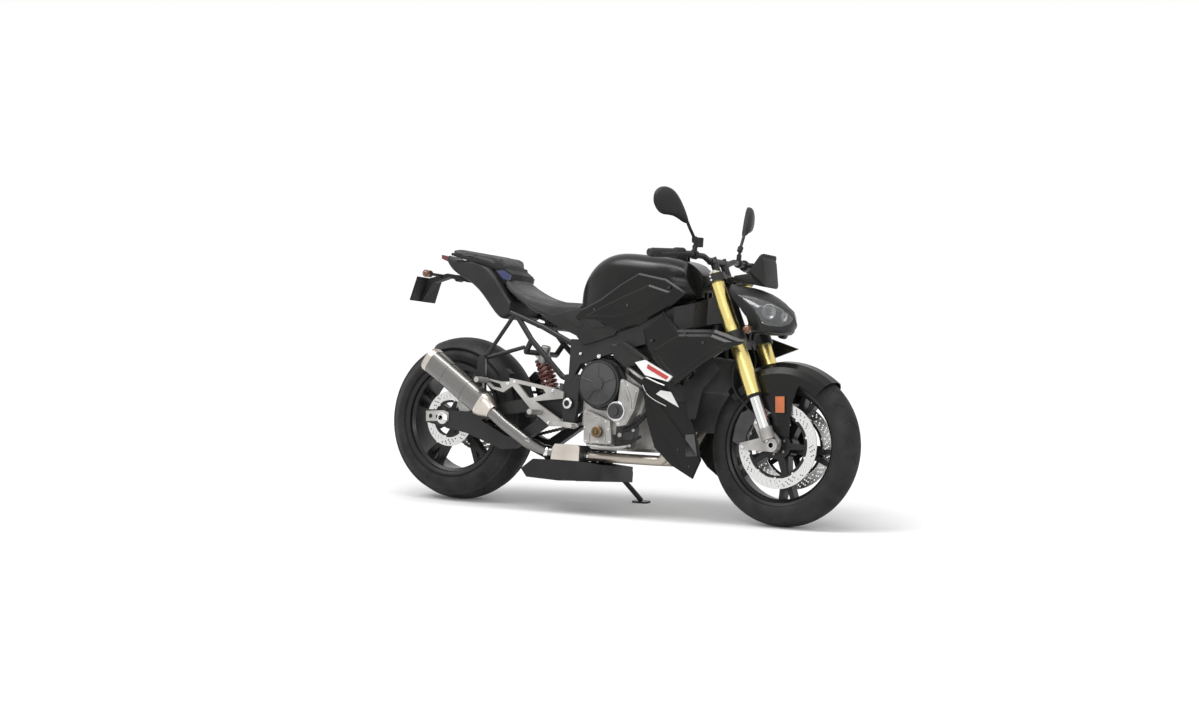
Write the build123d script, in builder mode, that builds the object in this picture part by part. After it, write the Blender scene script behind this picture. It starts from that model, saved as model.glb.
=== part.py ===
from build123d import *
import math
import os

os.makedirs("parts", exist_ok=True)

# Axes while the motorcycle is upright: x forward from the rear axle, y to its left, z up.
# At the end each piece is leaned over on the side stand and moved above its floor middle.

# Stance and steering
wheelbase = 1450
rake = 24.5
trail = 96
lean = 8
steering_lock = 31

# Wheels and tyres
front_tyre_radius = 300
front_tyre_width = 120
front_crown_radius = 60.5
rear_tyre_radius = 319
rear_tyre_width = 190
rear_crown_radius = 104.5
tyre_wall = 9
rim_radius = 229
rim_flange_height = 10
front_rim_width = 100
rear_rim_width = 168
spoke_count = 5
spoke_width = 40
front_spoke_angle = 62
rear_spoke_angle = 15
hub_radius = 32
front_hub_half = 61
rear_hub_half = 92

# Axles and running fits
axle_radius = 12.5
axle_bore = 10
running_fit = 0.05
seat_gap = 0.3
moving_gap = 5

# Brakes
front_disc_radius = 160
front_disc_inner = 122
front_disc_y = 66
rear_disc_radius = 110
rear_disc_inner = 76
rear_disc_y = 100
disc_thickness = 4.5
bobbin_count = 10

# Front fork
fork_offset = 30
fork_half_spacing = 107
outer_tube_radius = 27
outer_tube_swell = 29.5
stanchion_radius = 22.5
outer_tube_low = 517
outer_tube_top = 1003
lower_yoke_low = 725
lower_yoke_top = 765
upper_yoke_low = 966
upper_yoke_top = 996
stem_radius = 17.5
yoke_clamp_radius = 39
head_tube_radius = 32

# Handlebar
bar_half_width = 400
bar_radius = 11
bar_centre_radius = 14
grip_radius = 17
grip_length = 125
bar_end_height = 975

# Frame and swingarm
pivot_x = 600
pivot_z = 407
pivot_shaft_radius = 15
pivot_plate_in = 156
pivot_plate_out = 176
arm_in = 118
arm_out = 150
rail_radius = 11

# Engine
crankcase_half = 150
head_half = 145
cylinder_tilt = 32
header_radius = 19
port_spacing = 80
port_places = (-1.5, -0.5, 0.5, 1.5)
head_steps = ((0, 22), (78, 104), (150, 178))
sump_rib_places = (700, 730, 760, 790, 820, 850)
clutch_x = 740
clutch_z = 488
clutch_radius = 88
clutch_reach = 208

# Chain drive
rear_sprocket_teeth = 45
front_sprocket_teeth = 17
chain_pitch = 15.875
chain_height = 14
chain_width = 10
chain_y = 104
front_sprocket_x = 665
front_sprocket_z = 425

# Bodywork
tank_half = 165
seat_half = 130
trim_y = 182.3
trim_thickness = 9
shroud_y = 205
shroud_thickness = 28
plate_reach = 250

# Side stand
stand_pivot = Vector(600, 146, 190)
stand_foot_x = 690
stand_foot_y = 270
stand_leg_radius = 10
stand_bolt_radius = 6

# Worked out from the sizes above
lean_tilt = math.tan(math.radians(lean))
lean_sine = math.sin(math.radians(lean))
lean_cosine = math.cos(math.radians(lean))
front_axle_z = front_tyre_radius - front_crown_radius + front_crown_radius / lean_cosine
rear_axle_z = rear_tyre_radius - rear_crown_radius + rear_crown_radius / lean_cosine
front_axle = Vector(wheelbase, 0, front_axle_z)
rear_axle = Vector(0, 0, rear_axle_z)
steer_up = Vector(-math.sin(math.radians(rake)), 0, math.cos(math.radians(rake)))
steer_ahead = Vector(math.cos(math.radians(rake)), 0, math.sin(math.radians(rake)))
steer_foot = Vector(wheelbase + trail, 0, 0)
axle_up = (front_axle - steer_foot).dot(steer_up)
overall_front = wheelbase + front_tyre_radius
stand_foot = Vector(stand_foot_x, stand_foot_y, stand_foot_y * lean_tilt)
stand_folded = Vector(-0.96, 0.25, 0.1)
stand_axis = (stand_foot - stand_pivot).cross(stand_folded).normalized()
floor_middle_x = (overall_front - rear_tyre_radius) / 2
floor_middle_y = 136
parked = Location((-floor_middle_x, -floor_middle_y, 0), (-lean, 0, 0))


def steer_point(up, ahead, y):
    return steer_foot + steer_up * up + steer_ahead * ahead + Vector(0, y, 0)


def steer_plane(up):
    return Plane(origin=steer_point(up, 0, 0), x_dir=steer_ahead, z_dir=steer_up)


def finish(builder, label):
    builder.part.label = label
    piece = builder.part.moved(parked)
    piece.label = label
    export_step(piece, f"parts/{label}.step")


# Shapes that many pieces share
def draw(points, corner=0):
    with BuildLine() as loop:
        if corner:
            FilletPolyline(*points, radius=corner, close=True)
        else:
            Polyline(*points, close=True)
    make_face(loop.edges())


def slab(outline, y_low, y_high, corner=0, mode=Mode.ADD):
    with BuildSketch(Plane.XZ.offset(-y_high)) as profile:
        draw(outline, corner)
    extrude(profile.sketch, amount=y_high - y_low, mode=mode)


def hollow(outline, wall, y_low, y_high):
    with BuildSketch(Plane.XZ.offset(wall - y_high)) as profile:
        draw(outline)
        offset(amount=-wall, kind=Kind.INTERSECTION)
    extrude(profile.sketch, amount=y_high - y_low - 2 * wall, mode=Mode.SUBTRACT)


def rod(start, end, radius, mode=Mode.ADD):
    run = Vector(end) - Vector(start)
    with BuildSketch(Plane(origin=start, z_dir=run)) as section:
        Circle(radius)
    extrude(section.sketch, amount=run.length, mode=mode)


def cross_rod(x, z, y_low, y_high, radius, mode=Mode.ADD):
    rod((x, y_low, z), (x, y_high, z), radius, mode)


def tube(points, radius, bend, mode=Mode.ADD):
    with BuildLine() as path:
        FilletPolyline(*points, radius=bend)
    with BuildSketch(Plane(origin=path.line @ 0, z_dir=path.line % 0)) as section:
        Circle(radius)
    sweep(section.sketch, path.line, mode=mode)


def spun(centre, outline, mode=Mode.ADD):
    with BuildSketch(Plane(origin=centre, x_dir=(0, 1, 0), z_dir=(1, 0, 0))) as profile:
        draw(outline)
    revolve(profile.sketch, axis=Axis(centre, (0, 1, 0)), mode=mode)


def station_loft(stations, mode=Mode.ADD):
    sections = []
    for x, z_low, z_high, half, corner in stations:
        with BuildSketch(Plane.YZ.offset(x)) as section:
            with Locations((0, (z_low + z_high) / 2)):
                RectangleRounded(2 * half, z_high - z_low, corner)
        sections.append(section.sketch)
    loft(sections, mode=mode)


def beam_loft(stations, mode=Mode.ADD):
    sections = []
    for x, z_low, z_high, y_in, y_out in stations:
        with BuildSketch(Plane.YZ.offset(x)) as section:
            with Locations(((y_in + y_out) / 2, (z_low + z_high) / 2)):
                Rectangle(y_out - y_in, z_high - z_low)
        sections.append(section.sketch)
    loft(sections, ruled=True, mode=mode)


# Wheels: rim, tyre, discs and sprocket
def rim_outline(half):
    seat = rim_radius - rim_flange_height
    return [
        (-half, rim_radius), (-half + 5, rim_radius), (-half + 6, seat),
        (-half + 20, seat - 2), (-half + 28, seat - 15), (half - 28, seat - 15),
        (half - 20, seat - 2), (half - 6, seat), (half - 5, rim_radius), (half, rim_radius),
        (half, seat + 3), (half - 4, seat - 7), (half - 16, seat - 9.5), (half - 24, seat - 21),
        (-half + 24, seat - 21), (-half + 16, seat - 9.5), (-half + 4, seat - 7), (-half, seat + 3),
    ]


def wheel(axle, half, hub_half, start_angle):
    well_radius = rim_radius - rim_flange_height - 18
    arm = spoke_width / 2
    spun(axle, rim_outline(half))
    spoke_plane = Plane(origin=axle + Vector(0, arm, 0), x_dir=(1, 0, 0), z_dir=(0, -1, 0))
    with BuildSketch(spoke_plane) as spokes:
        with PolarLocations(0, spoke_count, start_angle=start_angle):
            Polygon((0, -arm), (well_radius * 0.5, -arm * 0.7), (well_radius - 2, -arm * 1.7),
                    (well_radius, -arm * 0.8),
                    (well_radius * 0.72, 0), (well_radius, arm * 0.8), (well_radius - 2, arm * 1.7),
                    (well_radius * 0.5, arm * 0.7), (0, arm), align=None)
    extrude(spokes.sketch, amount=spoke_width)
    spun(axle, [(-hub_half, 0), (-hub_half, hub_radius), (hub_half, hub_radius), (hub_half, 0)])
    spun(axle, [(-arm - 6, 0), (-arm - 6, hub_radius + 12), (arm + 6, hub_radius + 12), (arm + 6, 0)])
    bore = axle_radius + running_fit
    spun(axle, [(-hub_half - 1, 0), (-hub_half - 1, bore), (hub_half + 1, bore), (hub_half + 1, 0)],
         Mode.SUBTRACT)


def tyre(axle, outer_radius, width, crown, rim_half):
    middle = outer_radius - crown
    half = width / 2
    shoulder = middle + math.sqrt(crown ** 2 - half ** 2)
    inner_crown = crown - tyre_wall
    inner_half = half - tyre_wall
    inner_shoulder = middle + math.sqrt(inner_crown ** 2 - inner_half ** 2)
    bead = rim_half - 6 - seat_gap
    bead_radius = rim_radius - rim_flange_height + seat_gap
    bead_top = rim_radius + seat_gap
    with BuildSketch(Plane(origin=axle, x_dir=(0, 1, 0), z_dir=(1, 0, 0))) as profile:
        with BuildLine() as loop:
            ThreePointArc((-half, shoulder), (0, outer_radius), (half, shoulder))
            Polyline((half, shoulder), (bead, bead_top), (bead, bead_radius), (bead - 9, bead_radius))
            Line((bead - 9, bead_radius), (inner_half, inner_shoulder))
            ThreePointArc((inner_half, inner_shoulder), (0, outer_radius - tyre_wall),
                          (-inner_half, inner_shoulder))
            Line((-inner_half, inner_shoulder), (9 - bead, bead_radius))
            Polyline((9 - bead, bead_radius), (-bead, bead_radius), (-bead, bead_top), (-half, shoulder))
        make_face(loop.edges())
    revolve(profile.sketch, axis=Axis(axle, (0, 1, 0)))


def brake_disc(axle, y, outer, inner, mount_radius, hub_half):
    face = y - disc_thickness / 2
    back = y + disc_thickness / 2
    spun(axle, [(face, inner), (face, outer), (back, outer), (back, inner)])
    carrier = inner - 1.5
    window = (carrier + mount_radius) / 2
    spun(axle, [(face, axle_radius + 6), (face, carrier), (back, carrier), (back, axle_radius + 6)])
    plane = Plane(origin=axle + Vector(0, back + 1, 0), x_dir=(1, 0, 0), z_dir=(0, -1, 0))
    with BuildSketch(plane) as windows:
        with PolarLocations(window, bobbin_count // 2, start_angle=36):
            Circle((carrier - mount_radius) / 2 - 5)
    extrude(windows.sketch, amount=disc_thickness + 2, mode=Mode.SUBTRACT)
    with BuildSketch(plane) as bobbins:
        with PolarLocations(inner - 0.75, bobbin_count):
            Circle(6)
    extrude(bobbins.sketch, amount=disc_thickness + 2)
    side = 1 if y > 0 else -1
    seat = side * (hub_half + seat_gap)
    bore = axle_radius + 6
    spun(axle, [(seat, bore), (seat, mount_radius), (y, mount_radius), (y, bore)])


with BuildPart() as front_rim:
    wheel(front_axle, front_rim_width / 2, front_hub_half, front_spoke_angle)
finish(front_rim, "front_rim")

with BuildPart() as front_tyre:
    tyre(front_axle, front_tyre_radius, front_tyre_width, front_crown_radius, front_rim_width / 2)
finish(front_tyre, "front_tyre")

with BuildPart() as front_discs:
    brake_disc(front_axle, front_disc_y, front_disc_radius, front_disc_inner, 45, front_hub_half)
    mirror(about=Plane.XZ)
finish(front_discs, "front_discs")

with BuildPart() as rear_rim:
    wheel(rear_axle, rear_rim_width / 2, rear_hub_half, rear_spoke_angle)
finish(rear_rim, "rear_rim")

with BuildPart() as rear_tyre:
    tyre(rear_axle, rear_tyre_radius, rear_tyre_width, rear_crown_radius, rear_rim_width / 2)
finish(rear_tyre, "rear_tyre")

with BuildPart() as rear_disc:
    brake_disc(rear_axle, -rear_disc_y, rear_disc_radius, rear_disc_inner, 36, rear_hub_half)
finish(rear_disc, "rear_disc")

sprocket_pitch_radius = chain_pitch / (2 * math.sin(math.pi / rear_sprocket_teeth))
front_pitch_radius = chain_pitch / (2 * math.sin(math.pi / front_sprocket_teeth))
sprocket_tip = sprocket_pitch_radius - chain_height / 2 - 0.6
with BuildPart() as rear_sprocket:
    sprocket_plane = Plane(
        origin=rear_axle + Vector(0, chain_y + 3, 0), x_dir=(1, 0, 0), z_dir=(0, -1, 0)
    )
    with BuildSketch(sprocket_plane):
        Circle(sprocket_tip)
        with PolarLocations(sprocket_tip, rear_sprocket_teeth):
            Circle(chain_pitch * 0.3, mode=Mode.SUBTRACT)
        with PolarLocations(sprocket_tip - 32, 5):
            Circle(16, mode=Mode.SUBTRACT)
        Circle(axle_radius + 6, mode=Mode.SUBTRACT)
    extrude(amount=6)
    seat = rear_hub_half + seat_gap
    bore = axle_radius + 6
    spun(rear_axle, [(seat, bore), (seat, 58), (chain_y, 58), (chain_y, bore)])
finish(rear_sprocket, "rear_sprocket")


# Axles, spacers and chain adjusters
def axle_tube(axle, half, mode=Mode.ADD):
    spun(axle, [(-half, axle_bore), (-half, axle_radius), (half, axle_radius), (half, axle_bore)], mode)


fork_lug_in = 88
fork_lug_out = 122
with BuildPart() as front_axle_shaft:
    axle_tube(front_axle, fork_lug_out + 2)
    for low, high in ((front_hub_half + 1, fork_lug_in - seat_gap),
                      (-fork_lug_in + seat_gap, -front_hub_half - 1)):
        spun(front_axle, [(low, axle_bore), (low, 17), (high, 17), (high, axle_bore)])
finish(front_axle_shaft, "front_axle_shaft")

with BuildPart() as rear_axle_shaft:
    axle_tube(rear_axle, arm_out + 10)
    low = rear_hub_half + 1
    high = arm_in - seat_gap
    for sign in (-1, 1):
        spun(rear_axle, [(sign * low, axle_bore), (sign * low, 16), (sign * high, 16),
                         (sign * high, axle_bore)])
        cap_in = sign * (arm_out + seat_gap)
        cap_out = sign * (arm_out + 8)
        spun(rear_axle, [(cap_in, axle_bore), (cap_in, 24), (cap_out, 24), (cap_out, axle_bore)])
finish(rear_axle_shaft, "rear_axle_shaft")

# Front fork and yokes
with BuildPart() as fork_yokes:
    for low, high in ((lower_yoke_low, lower_yoke_top), (upper_yoke_low, upper_yoke_top)):
        with BuildSketch(steer_plane(low)) as yoke:
            with Locations((fork_offset, fork_half_spacing), (fork_offset, -fork_half_spacing)):
                Circle(yoke_clamp_radius)
            Polygon((-26, -26), (-26, 26), (fork_offset - 24, fork_half_spacing),
                    (fork_offset + 24, fork_half_spacing),
                    (fork_offset + 10, 30), (fork_offset + 10, -30), (fork_offset + 24, -fork_half_spacing),
                    (fork_offset - 24, -fork_half_spacing), align=None)
            with Locations((fork_offset, fork_half_spacing), (fork_offset, -fork_half_spacing)):
                bore = outer_tube_radius if low == upper_yoke_low else outer_tube_swell
                Circle(bore + running_fit, mode=Mode.SUBTRACT)
        extrude(yoke.sketch, amount=high - low)
    rod(steer_point(lower_yoke_low, 0, 0), steer_point(upper_yoke_top + 8, 0, 0), stem_radius)
    for side in (-1, 1):
        rod(steer_point(upper_yoke_top - 5, 12, side * 38),
            steer_point(upper_yoke_top + 84, 12, side * 38), 15)
    bar_centre = steer_point(upper_yoke_top + 70, 12, 0)
    cross_rod(bar_centre.X, bar_centre.Z, -60, 60, bar_centre_radius + running_fit, Mode.SUBTRACT)
finish(fork_yokes, "fork_yokes")

with BuildPart() as fork_tubes:
    for side in (-1, 1):
        foot = steer_point(0, fork_offset, side * fork_half_spacing)
        with BuildSketch(Plane(origin=foot, x_dir=steer_ahead, z_dir=(0, -1, 0))) as wall:
            draw([
                (stanchion_radius + running_fit, outer_tube_low), (outer_tube_swell - 1, outer_tube_low),
                (outer_tube_swell, outer_tube_low + 8), (outer_tube_swell, lower_yoke_top + 20),
                (outer_tube_radius, lower_yoke_top + 50), (outer_tube_radius, outer_tube_top - 4),
                (outer_tube_radius - 4, outer_tube_top), (0, outer_tube_top), (0, outer_tube_top - 14),
                (stanchion_radius + running_fit, outer_tube_top - 14),
            ])
        revolve(wall.sketch, axis=Axis(foot, steer_up))
finish(fork_tubes, "fork_tubes")

caliper_top = (-76, 81)
caliper_low = (-128, -12)
hose_end = Vector(1318, -70, 430.4)
hose_fall = Vector(10, 6, -17.6).normalized()
with BuildPart() as fork_legs:
    x = wheelbase
    z = front_axle_z
    arm_outline = [
        (x + 24, z - 6), (x + 10, z - 26), (x - 20, z - 24),
        (x + caliper_low[0] - 10, z + caliper_low[1] - 12),
        (x + caliper_low[0] - 12, z + caliper_low[1] + 12), (x - 60, z + 24),
        (x + caliper_top[0] - 12, z + caliper_top[1] - 8), (x + caliper_top[0] - 6, z + caliper_top[1] + 14),
        (x + caliper_top[0] + 14, z + caliper_top[1] + 10), (x + 6, z + 40), (x + 24, z + 20),
    ]
    slab(arm_outline, fork_lug_in, fork_lug_in + 14)
    cross_rod(x, z, fork_lug_in, fork_lug_out, 25)
    rod(steer_point(axle_up + 26, fork_offset, fork_half_spacing),
        steer_point(outer_tube_low + 190, fork_offset, fork_half_spacing), stanchion_radius)
    rod(steer_point(axle_up + 24, fork_offset, fork_half_spacing),
        steer_point(axle_up + 70, fork_offset, fork_half_spacing), stanchion_radius + 4)
    cross_rod(x, z, fork_lug_in - 1, fork_lug_out + 5, axle_radius + running_fit, Mode.SUBTRACT)
    mirror(about=Plane.XZ)
finish(fork_legs, "fork_legs")

with BuildPart() as front_calipers:
    body = [(x - 178, z + 6), (x - 152, z - 6), (x - 130, z - 14), (x - 122, z + 4), (x - 126, z + 30),
            (x - 104, z + 70), (x - 78, z + 78), (x - 76, z + 94), (x - 94, z + 112), (x - 118, z + 126),
            (x - 150, z + 112), (x - 170, z + 66)]
    slab(body, seat_gap - fork_lug_in, 20 - front_disc_y)
    rod(hose_end + hose_fall * 18, hose_end, 7)
    cross_rod(x, z, -front_disc_y - disc_thickness / 2 - moving_gap,
              -front_disc_y + disc_thickness / 2 + moving_gap, front_disc_radius + moving_gap, Mode.SUBTRACT)
    mirror(about=Plane.XZ)
finish(front_calipers, "front_calipers")

# Handlebar, grips, controls and mirrors
bar_x = bar_centre.X
bar_z = bar_centre.Z
bar_route = [
    (bar_x, -70, bar_z), (bar_x, -120, bar_z + 14), (bar_x - 18, -230, bar_z + 14),
    (bar_x - 63, -bar_half_width, bar_end_height),
]
with BuildPart() as handlebar:
    tube([(bar_x, 0, bar_z)] + bar_route, bar_radius, 30)
    cross_rod(bar_x, bar_z, -70, 0, bar_centre_radius)
    mirror(about=Plane.XZ)
finish(handlebar, "handlebar")

bar_end = Vector(bar_route[3])
bar_bend = Vector(bar_route[2])
bar_run = (bar_end - bar_bend).normalized()


def along_bar(distance):
    return bar_end - bar_run * distance


with BuildPart() as hand_grips:
    rod(along_bar(grip_length), along_bar(-14), grip_radius)
    rod(along_bar(grip_length + 2), along_bar(0), bar_radius + running_fit, Mode.SUBTRACT)
    mirror(about=Plane.XZ)
finish(hand_grips, "hand_grips")

with BuildPart() as hand_controls:
    inner = along_bar(grip_length + 38)
    rod(inner, along_bar(grip_length + 1), 21)
    rod(inner - bar_run * 2, along_bar(grip_length), bar_radius + running_fit, Mode.SUBTRACT)
    perch = inner + Vector(40, 0, 0)
    rod(inner + Vector(20, 0, 0), perch, 10)
    tube([perch, perch + Vector(14, -28, -2), along_bar(40) + Vector(52, 0, -4),
          along_bar(0) + Vector(46, 0, -6)],
         6, 12)
    mirror(about=Plane.XZ)
    cup = inner + Vector(42, 40, 28)
    rod(cup, cup + Vector(0, 0, 34), 18)
    rod(perch + Vector(-4, -2, 0), cup + Vector(0, 0, 10), 6)
finish(hand_controls, "hand_controls")

with BuildPart() as mirrors:
    clamp = (Vector(bar_route[1]) + Vector(bar_route[2])) * 0.5
    clamp_run = (Vector(bar_route[2]) - Vector(bar_route[1])).normalized()
    head = Vector(1060, -300, 1165)
    rod(clamp - clamp_run * 9, clamp + clamp_run * 9, bar_radius + 6)
    tube([clamp, clamp + Vector(0, -6, 56), head - Vector(0, -40, 45), head], 6, 14)
    rod(clamp - clamp_run * 10, clamp + clamp_run * 10, bar_radius + running_fit, Mode.SUBTRACT)
    with BuildSketch(Plane(origin=head + Vector(10, 0, 0), x_dir=(0.34, -0.94, 0.1),
                           z_dir=(-0.94, -0.34, 0))) as shell:
        draw([(-86, -54), (-20, -42), (44, -44), (82, -14), (84, 28), (52, 54), (6, 50), (-44, 10)], 12)
    extrude(shell.sketch, amount=22, taper=8)
    mirror(about=Plane.XZ)
finish(mirrors, "mirrors")

# Headlamp, display and front indicators
def faceted(side_outline, top_outline):
    slab(side_outline, -200, 200)
    with BuildSketch(Plane.XY.offset(600)) as seen_from_above:
        draw(top_outline + [(x, -y) for x, y in reversed(top_outline)])
    extrude(seen_from_above.sketch, amount=500, mode=Mode.INTERSECT)


lamp_rear = Vector(1345, -128, 0)
lamp_front = Vector(1480, -52, 0)
lamp_run = (lamp_front - lamp_rear).normalized()
lamp_facing = Vector(lamp_run.Y, -lamp_run.X, 0)
lens_outline = [(1352, 842), (1402, 838), (1446, 812), (1474, 776), (1450, 748), (1386, 742)]
lens_thickness = 4


def lamp_sketch(lift, inset):
    with BuildSketch(Plane(origin=lamp_rear + lamp_facing * lift, x_dir=lamp_run,
                           z_dir=lamp_facing)) as outline:
        draw([((x - lamp_rear.X) / lamp_run.X, z) for x, z in lens_outline])
        offset(amount=-inset, kind=Kind.INTERSECTION)
    return outline.sketch


with BuildPart() as headlamp_shell:
    faceted([(1222, 850), (1222, 884), (1306, 884), (1394, 872), (1449, 846), (1484, 817), (1496, 770),
             (1486, 727),
             (1415, 727), (1330, 735), (1262, 790)],
            [(1222, 62), (1262, 108), (1345, 128), (1480, 52), (1496, 24)])
    bowl = extrude(lamp_sketch(0, 5), amount=-32, mode=Mode.SUBTRACT)
    mirror(bowl, about=Plane.XZ, mode=Mode.SUBTRACT)
    slab([(1318, 712), (1362, 712), (1366, 760), (1314, 760)], -70, 70)
    stay = [steer_point(up, ahead, 0) for up, ahead in ((733, 40.3), (760, 40.3), (880, 104), (846, 112))]
    slab([(point.X, point.Z) for point in stay], 12, 24)
    slab([(point.X, point.Z) for point in stay], -24, -12)
finish(headlamp_shell, "headlamp_shell")

with BuildPart() as headlamp_lens:
    extrude(lamp_sketch(seat_gap, 0), amount=lens_thickness)
    mirror(about=Plane.XZ)
finish(headlamp_lens, "headlamp_lens")

with BuildPart() as instrument_display:
    faceted([(1200, 908), (1318, 890), (1400, 888), (1412, 898), (1398, 985), (1331, 1008), (1292, 966),
             (1270, 935),
             (1200, 926)], [(1200, 36), (1262, 60), (1292, 78), (1384, 78), (1412, 58)])
    stay = [steer_point(up, 40.3, 0) for up in (970, 990)]
    slab([(stay[0].X, stay[0].Z), (stay[1].X, stay[1].Z), (1210, 924), (1210, 909)], 12, 24)
    slab([(stay[0].X, stay[0].Z), (stay[1].X, stay[1].Z), (1210, 924), (1210, 909)], -24, -12)
finish(instrument_display, "instrument_display")

with BuildPart() as front_indicators:
    for side in (-1, 1):
        cross_rod(1340, 722, side * (70 + seat_gap), side * 128, 7)
        cross_rod(1334, 720, side * 128, side * 158, 15)
finish(front_indicators, "front_indicators")

# Brake hoses from the lower yoke down to the front calipers, with each bend as large as its runs allow
hose_radius = 4


def bend_radii(points):
    radii = []
    for before, corner, after in zip(points, points[1:], points[2:]):
        run_in = Vector(corner) - Vector(before)
        run_out = Vector(after) - Vector(corner)
        half_turn = math.radians(run_in.get_angle(run_out)) / 2
        radii.append(round(0.45 * min(run_in.length, run_out.length) / math.tan(half_turn), 1))
    return radii


hose_top = steer_point(lower_yoke_low, 2, -70)
hose_route = [
    hose_top, hose_top - steer_up * 42, (1252, -84, 566), (1256, -88, 512), (1280, -86, 474),
    hose_end - hose_fall * 21, hose_end,
]
hose_bends = bend_radii(hose_route)
print("brake hose bends", hose_bends)
with BuildPart() as brake_hoses:
    with BuildLine() as route:
        FilletPolyline(*hose_route, radius=hose_bends)
    with BuildSketch(Plane(origin=route.line @ 0, z_dir=route.line % 0)) as section:
        Circle(hose_radius)
    sweep(section.sketch, route.line)
    mirror(about=Plane.XZ)
finish(brake_hoses, "brake_hoses")

# Front mudguard
guard_half = 76.5
guard_wall = 3
guard_clear = 8


def radial_plane(axle, angle):
    level = math.radians(angle)
    return Plane(origin=axle, x_dir=(0, 1, 0), z_dir=(math.sin(level), 0, -math.cos(level)))


with BuildPart() as front_mudguard:
    crown = front_tyre_radius + guard_clear
    with BuildSketch(radial_plane(front_axle, 140)) as band:
        draw([
            (-guard_half, 236), (-guard_half, 266), (-66, 290), (-36, crown), (0, crown + 7), (36, crown),
            (66, 290), (guard_half, 266), (guard_half, 236), (guard_half - guard_wall, 236),
            (guard_half - guard_wall, 264), (63, 287), (35, crown - guard_wall), (0, crown + 7 - guard_wall),
            (-35, crown - guard_wall), (-63, 287), (guard_wall - guard_half, 264),
            (guard_wall - guard_half, 236),
        ])
    revolve(band.sketch, axis=Axis(front_axle, (0, 1, 0)), revolution_arc=88)
    for low, high in ((guard_half - guard_wall, guard_half), (-guard_half, guard_wall - guard_half)):
        slab([(1352, 520), (1349, 478), (1384, 440), (1420, 420), (1439, 341), (1497, 336), (1499, 448),
              (1516, 506),
              (1530, 530), (1450, 560)], low, high)
    for side in (-1, 1):
        mount = steer_point(495, fork_offset, 0)
        cross_rod(mount.X, mount.Z, side * (guard_half - 1),
                  side * (fork_half_spacing - stanchion_radius - seat_gap), 9)
finish(front_mudguard, "front_mudguard")

# Main frame with its steering head
beam_stations = [
    (590, 470, 655, pivot_plate_in, pivot_plate_out),
    (640, 560, 655, pivot_plate_in - 2, pivot_plate_out + 2),
    (800, 615, 705, pivot_plate_in - 4, pivot_plate_out + 4),
    (930, 650, 745, pivot_plate_in - 4, pivot_plate_out + 4),
    (1030, 700, 792, 138, 166),
    (1085, 722, 812, 84, 114),
    (1118, 735, 835, 40, 68),
    (1176, 745, 855, 14, 50),
]
with BuildPart() as main_frame:
    beam_loft(beam_stations)
    slab([(579, 519), (640, 521), (640, 399), (626, 325), (581, 317), (563, 444)], pivot_plate_in,
         pivot_plate_out)
    mirror(about=Plane.XZ)
    cross_rod(pivot_x, pivot_z, -pivot_plate_out - 8, pivot_plate_out + 8, pivot_shaft_radius)
    cross_rod(612, 640, -pivot_plate_in - 4, pivot_plate_in + 4, 14)
    cross_rod(572, 505, -pivot_plate_in - 4, pivot_plate_in + 4, 12)
    cross_rod(1080, 800, -112, 112, 12)
    slab([(586, 212), (616, 212), (626, 330), (580, 330)], pivot_plate_in, pivot_plate_out)
    rod(stand_pivot + stand_axis * (stand_leg_radius + 0.5), stand_pivot + stand_axis * 34, 17)
    rod(stand_pivot - stand_axis * 14, stand_pivot + stand_axis * 20, stand_bolt_radius)
    for side in (-1, 1):
        cross_rod(690, 592, side * crankcase_half, side * (pivot_plate_in + 2), 10)
        cross_rod(930, 680, side * head_half, side * (pivot_plate_in + 2), 12)
    rod(steer_point(lower_yoke_top + 2, 0, 0), steer_point(upper_yoke_low - 2, 0, 0), head_tube_radius)
    rod(steer_point(lower_yoke_low, 0, 0), steer_point(upper_yoke_top, 0, 0), stem_radius + running_fit,
        Mode.SUBTRACT)
finish(main_frame, "main_frame")


def seat_rails(radius, mode=Mode.ADD):
    for side in (-1, 1):
        tube([(612 - 14 - seat_gap, side * 120, 640), (560, side * 120, 640), (420, side * 118, 700),
              (257, side * 105, 752),
              (120, side * 80, 845), (-40, side * 55, 925)], radius, 60, mode)


with BuildPart() as subframe:
    seat_rails(rail_radius)
    for side in (-1, 1):
        tube([(572 - 12 - seat_gap, side * 120, 505), (530, side * 120, 508), (374, side * 118, 645),
              (288, side * 107, 742)], rail_radius, 40)
    cross_rod(345, 600, -110, 110, rail_radius)
    for side in (-1, 1):
        rod((345, side * 110, 600), (372, side * 118, 645), rail_radius)
    cross_rod(400, 705, -118, 118, rail_radius)
    rod((276, -106, 742), (172, -136, 566), 8)
    rod((336, -108, 618), (172, -136, 566), 8)
    rod((172, -134, 566), (172, -146, 566), 15)
finish(subframe, "subframe")

# Shock absorber ends, on the subframe's cross tube and on the swingarm's pin
shock_top = Vector(345, 0, 600)
shock_low = Vector(418, 0, 430)
shock_pin_radius = 7
shock_axis = (shock_low - shock_top).normalized()

# Engine
with BuildPart() as crankcase:
    slab([(650, 604), (700, 604), (722, 560), (790, 560), (935, 470), (905, 380), (890, 300), (690, 300),
          (650, 330)], -crankcase_half, crankcase_half)
    slab([(664, 320), (892, 320), (880, 252), (850, 240), (690, 240), (660, 262)], -crankcase_half + 14,
         crankcase_half - 14)
    slab([(640, 350), (730, 350), (730, 500), (640, 500)], chain_y - 14, crankcase_half + 1,
         mode=Mode.SUBTRACT)
    cross_rod(front_sprocket_x, front_sprocket_z, chain_y - 20, chain_y + 3,
              front_pitch_radius - chain_height / 2 - seat_gap)
    slab([(833, 516), (918, 480), (901, 398), (869, 340), (824, 330)], -crankcase_half - 42,
         -crankcase_half, 10)
    slab([(668, 392), (786, 352), (802, 262), (676, 262)], -crankcase_half - 24, -crankcase_half, 8)
    for x in sump_rib_places:
        slab([(x, 334), (x + 6, 334), (x + 6, 246), (x, 246)], -crankcase_half + 2, crankcase_half - 2)
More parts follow.
